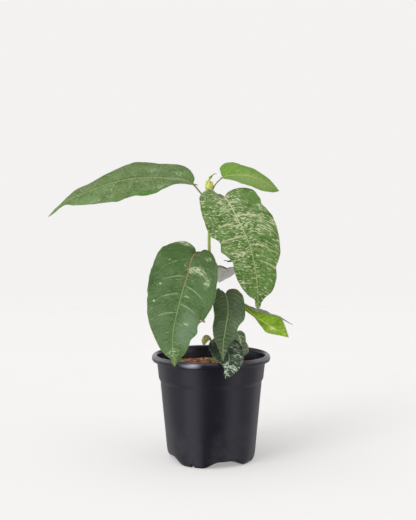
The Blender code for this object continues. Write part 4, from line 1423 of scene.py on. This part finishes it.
count = 300  # each leaflet is a flattened tube that ends in a point
blade_line = np.linspace((0.05, 0, 0), (0.75, 0, 0.8), 4)
leaflet = tube(blade_line, np.array((0.12, 0.2, 0.16, 0.02))[:, None], 3, (0, 0, 1), 0.5)
points, groups = closed(leaflet)
spin = turned(np.random.default_rng(3), 6, 0.0)
six = np.einsum("nij,kj->nki", spin, points).reshape(-1, 3)
groups = repeated(groups, 6, len(points))
scattered("moss_sprigs", six, groups, on_mix(draw, count, 0.2, MOSS_NEAR), turned(draw, count, 0.4),
          np.repeat(draw.uniform(1.2, 2.6, (count, 1)), 3, 1), moss, draw.uniform(0, 1, count))

# %% [markdown]
# ## Stem
#
# The stem is green and soft at the top and turns brown towards its foot. Wherever a leaf has stood it
# keeps a ring, the scar of the sheath that once wrapped the bud. A tube with rings added to its radius
# gives both, and the radius is one sum.

# %% Stem finish
stem_paint = Finish("stem_green")
spot = stem_paint.place()
sx, sy, sz = stem_paint.parts(spot)
drawn_out = stem_paint.noise(stem_paint.vector(sx * 1.2, sy * 1.2, sz * 0.12), 1.0, 3.0)
dots = stem_paint.cells(stem_paint.vector(sx, sy, sz * 0.4), 0.7).step(0.34, 0.2)
age = (sz + drawn_out * 40).step(225.0, 120.0)
colour = stem_paint.mix(drawn_out.step(0.35, 0.65), (150, 172, 66), (182, 196, 104))
colour = stem_paint.mix(age * 0.9, colour, (112, 98, 62))
colour = stem_paint.mix(dots * 0.5, colour, (176, 168, 128))
stem_paint.feed("Base Color", colour)
stem_paint.feed("Roughness", drawn_out * 0.15 + 0.42)
stem_paint.bump(drawn_out * 0.7 + dots * 0.3, 0.3)
print(stem_paint)

# %% Stem
STEM_RINGS, STEM_SIDES = 420, 40
SCAR_HEIGHT = 1.6  # how far over the foot of its stalk a leaf's ring lies

# The radius gets 0.28 exp(-(d / 0.5)^2) + 0.22 exp(-(d / 2.4)^2) at d from a ring, a sharp ridge on
# a soft swelling, and never more than half a millimetre
heights = np.array([z for x, y, z in STEM_LINE], float)
up = np.linspace(heights[0], heights[-1], STEM_RINGS)
line = smooth(STEM_LINE, heights, up)
girth = smooth(np.array(STEM_RADII)[:, None], heights, up)[:, 0]
nodes_at = np.array([leaf.node for leaf in LEAVES.values()])
off = up[:, None] - nodes_at - SCAR_HEIGHT
scar = (0.28 * np.exp(-((off / 0.5) ** 2)) + 0.22 * np.exp(-((off / 2.4) ** 2))).sum(1)
turn = np.linspace(0, 2 * np.pi, STEM_SIDES, endpoint=False)
grain = 0.05 * ripple(3 * turn + 0 * up[:, None], up[:, None] * 0.5 + 0 * turn, 3, 21)
stem_rings = tube(line, (girth + np.minimum(scar, 0.5))[:, None] + grain, STEM_SIDES)
stem = skin("fig_stem", stem_rings, stem_paint)
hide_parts("stem")

# %% [markdown]
# ## Growing tip
#
# At the top, young leaves are still rolled inside pale yellow sheaths. Each sheath here is a flattened
# tube that swells and runs out to a point along a bent line. The next leaf stands out of them as a
# long curved spike.

# %% Tip finish
tip_paint = Finish("bud_green")
spot = tip_paint.place()
tx, ty, tz = tip_paint.parts(spot)
streak = tip_paint.noise(tip_paint.vector(tx * 1.5, ty * 1.5, tz * 0.3), 1.0, 3.0)
colour = tip_paint.mix(streak.step(0.35, 0.65), (200, 212, 84), (236, 234, 142))
colour = tip_paint.mix(tz.step(305.5, 308.5), colour, (142, 150, 40))
tip_paint.feed("Base Color", colour)
tip_paint.feed("Roughness", streak * 0.1 + 0.38)
tip_paint.bump(streak, 0.15)
print(tip_paint)

# %% Sheaths and spike
FOOT = np.array((-1.6, 0.0, 291.6))  # where all the sheaths start
# The spike: points of its middle line, and its radius spread evenly along it
SPIKE = ((-2.2, 0, 300), (-2.0, 0, 304.5), (-1.2, 0, 307.6), (0.7, 0, 309.6), (2.6, 0, 311.4),
         (4.6, 0, 312.2), (6.0, 0, 311.6))
SPIKE_RADII = (0.9, 0.7, 0.9, 1.5, 0.7, 0.45, 0.3)
# One sheath a row: where its tip ends, how wide it swells, how far it bows outwards
SHEATHS = (
    ((-5.4, -0.8, 305.6), 3.1, 1.3), ((0.8, -1.2, 304.8), 3.1, 1.5), ((-2.6, -3.0, 303.8), 3.3, 1.2),
    ((-3.4, 2.8, 306.0), 3.1, 1.2), ((-0.4, 2.6, 304.6), 3.0, 1.2), ((-2.6, -0.6, 307.2), 2.6, 0.4),
    ((1.4, 0.6, 302.4), 2.2, 2.0), ((-6.2, 0.8, 302.2), 2.2, 1.8),
)
BUD_RINGS, BUD_SIDES = 26, 16


def sheath_rings(tip, width, bow):
    """Rings from the foot to a tip, at shares u of the way. The line bows outwards by
    bow sin(pi u^0.8), and the radius is width sin(pi u^0.75)^0.8, so that it swells low down and
    ends in a point."""
    share = np.linspace(0.02, 0.985, BUD_RINGS)[:, None]
    out = unit((np.array(tip) - FOOT) * (1, 1, 0.001))
    line = FOOT + (np.array(tip) - FOOT) * share + out * bow * np.sin(np.pi * share**0.8)
    radius = width * np.sin(np.pi * share**0.75) ** 0.8
    return tube(line, radius, BUD_SIDES, tuple(out), 0.5)


tip_rings = [sheath_rings(*row) for row in SHEATHS]
share = np.linspace(0, 1, BUD_RINGS)
spike_line = smooth(SPIKE, chord_knots(SPIKE), share * chord_knots(SPIKE)[-1])
spike_girth = spread(np.array(SPIKE_RADII)[:, None], share)
tip_rings.append(tube(spike_line, spike_girth, BUD_SIDES))
parts = [closed(rings) for rings in tip_rings]
points = np.vstack([part[0] for part in parts])
step = len(parts[0][0])
groups = [group + step * i for i, part in enumerate(parts) for group in part[1]]
tip = piece("fig_tip_bud", points, groups, tip_paint)
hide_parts("tip_bud")

# %% [markdown]
# ## Dried flake
#
# A scrap of dead tissue still hangs on the outer margin of the large left leaf. It is a few
# millimetres long, so one twisted, flattened tube is enough, with its place taken from the leaf's
# own formula. A cloth simulation would crumple it better, but nobody would see that.

# %% Dried flake
dried = Finish("dried_flake")
stain = dried.noise(dried.place(), 0.8, 3.0)
dried.feed("Base Color", dried.mix(stain.step(0.4, 0.6), (124, 104, 82), (188, 172, 142)))
dried.feed("Roughness", 0.75)
dried.bump(stain, 0.2)

margin = Blade(LEAVES["leaf_large_left"]).surface(np.array([[-25.5]]), np.array([[78.0]]))[0, 0]
bend = margin + ((-0.6, 0.2, 0.4), (0.9, -0.4, -0.3), (2.2, -0.9, 0.6), (3.6, 0.2, -0.4),
                 (4.6, 0.5, -1.8))
share = np.linspace(0, 1, 24)
flake_line = smooth(bend, chord_knots(bend), share * chord_knots(bend)[-1])
width = spread(np.array((0.5, 1.3, 0.8, 1.5, 0.4))[:, None], share)
flake_rings = tube(flake_line, width * (1 + 0.25 * ripple(share * 9, 0 * share, 1.6, 5))[:, None], 12,
                   (0, 1, 0.4), 0.2)
skin("dried_flake", flake_rings, dried)

# %% [markdown]
# ## Hairs
#
# The leaves feel like sandpaper, because short stiff hairs stand on the stem, the stalks, the
# margins and the ribs below. They catch the light as a faint pale fringe. Each is a spike of four
# faces, scattered like the moss. Hair curves would bend better, but these are too short to bend.


# %% Places on a skin
def on_rings(draw, rings, count, columns):
    """Random places on a skin with the outward direction there, at the given columns of its grid.
    The direction is the cross product of the steps to the next ring and to the next column."""
    row = draw.integers(1, len(rings) - 2, count)
    column = draw.choice(columns, count)
    here, ahead = rings[row, column], rings[row + 1, column]
    beside, before = rings[row, (column + 1) % rings.shape[1]], rings[row, column - 1]
    share = draw.uniform(0, 1, (count, 1))
    return here + (ahead - here) * share, unit(np.cross(beside - before, ahead - here))


# %% Hairs
LEAF_HAIRS, STEM_HAIRS = 350, 1800  # the first on each leaf's rim, and again on the rib below
BARE = 0.28  # the share of the stem, from its foot, that has none

draw = np.random.default_rng(29)
places, outward = [], []
for rings in leaf_skins.values():
    half = rings.shape[1] // 2
    rim = (0, 1, half - 1, half, half + 1, rings.shape[1] - 1)
    below = half + half // 2 + np.arange(-3, 4)
    for columns in (rim, below):
        place, out = on_rings(draw, rings, LEAF_HAIRS, np.array(columns))
        places.append(place)
        outward.append(out)
hairy = stem_rings[int(BARE * len(stem_rings)):]
place, out = on_rings(draw, hairy, STEM_HAIRS, np.arange(STEM_SIDES))
places = np.vstack((*places, place))
outward = np.vstack((*outward, out)) + draw.normal(0, 0.3, (len(places), 3))
outward = unit(outward)
aside = unit(np.cross(outward, draw.normal(0, 1, outward.shape)))
turns = np.stack((aside, np.cross(outward, aside), outward), -1)
spike = np.array(((0.05, 0, -0.1), (-0.025, 0.043, -0.1), (-0.025, -0.043, -0.1), (0, 0, 1)))
spike_faces = [np.array(((0, 1, 3), (1, 2, 3), (2, 0, 3), (2, 1, 0)))]
sizes = np.repeat(draw.uniform(0.5, 1.1, (len(places), 1)), 3, 1)

fuzz = Finish("leaf_hairs")
fuzz.feed("Base Color", shade(196, 198, 166))
fuzz.feed("Roughness", 0.5)
scattered("leaf_hairs", spike, spike_faces, places, turns, sizes, fuzz,
          draw.uniform(0, 1, len(places)))
print("hairs:", len(places))
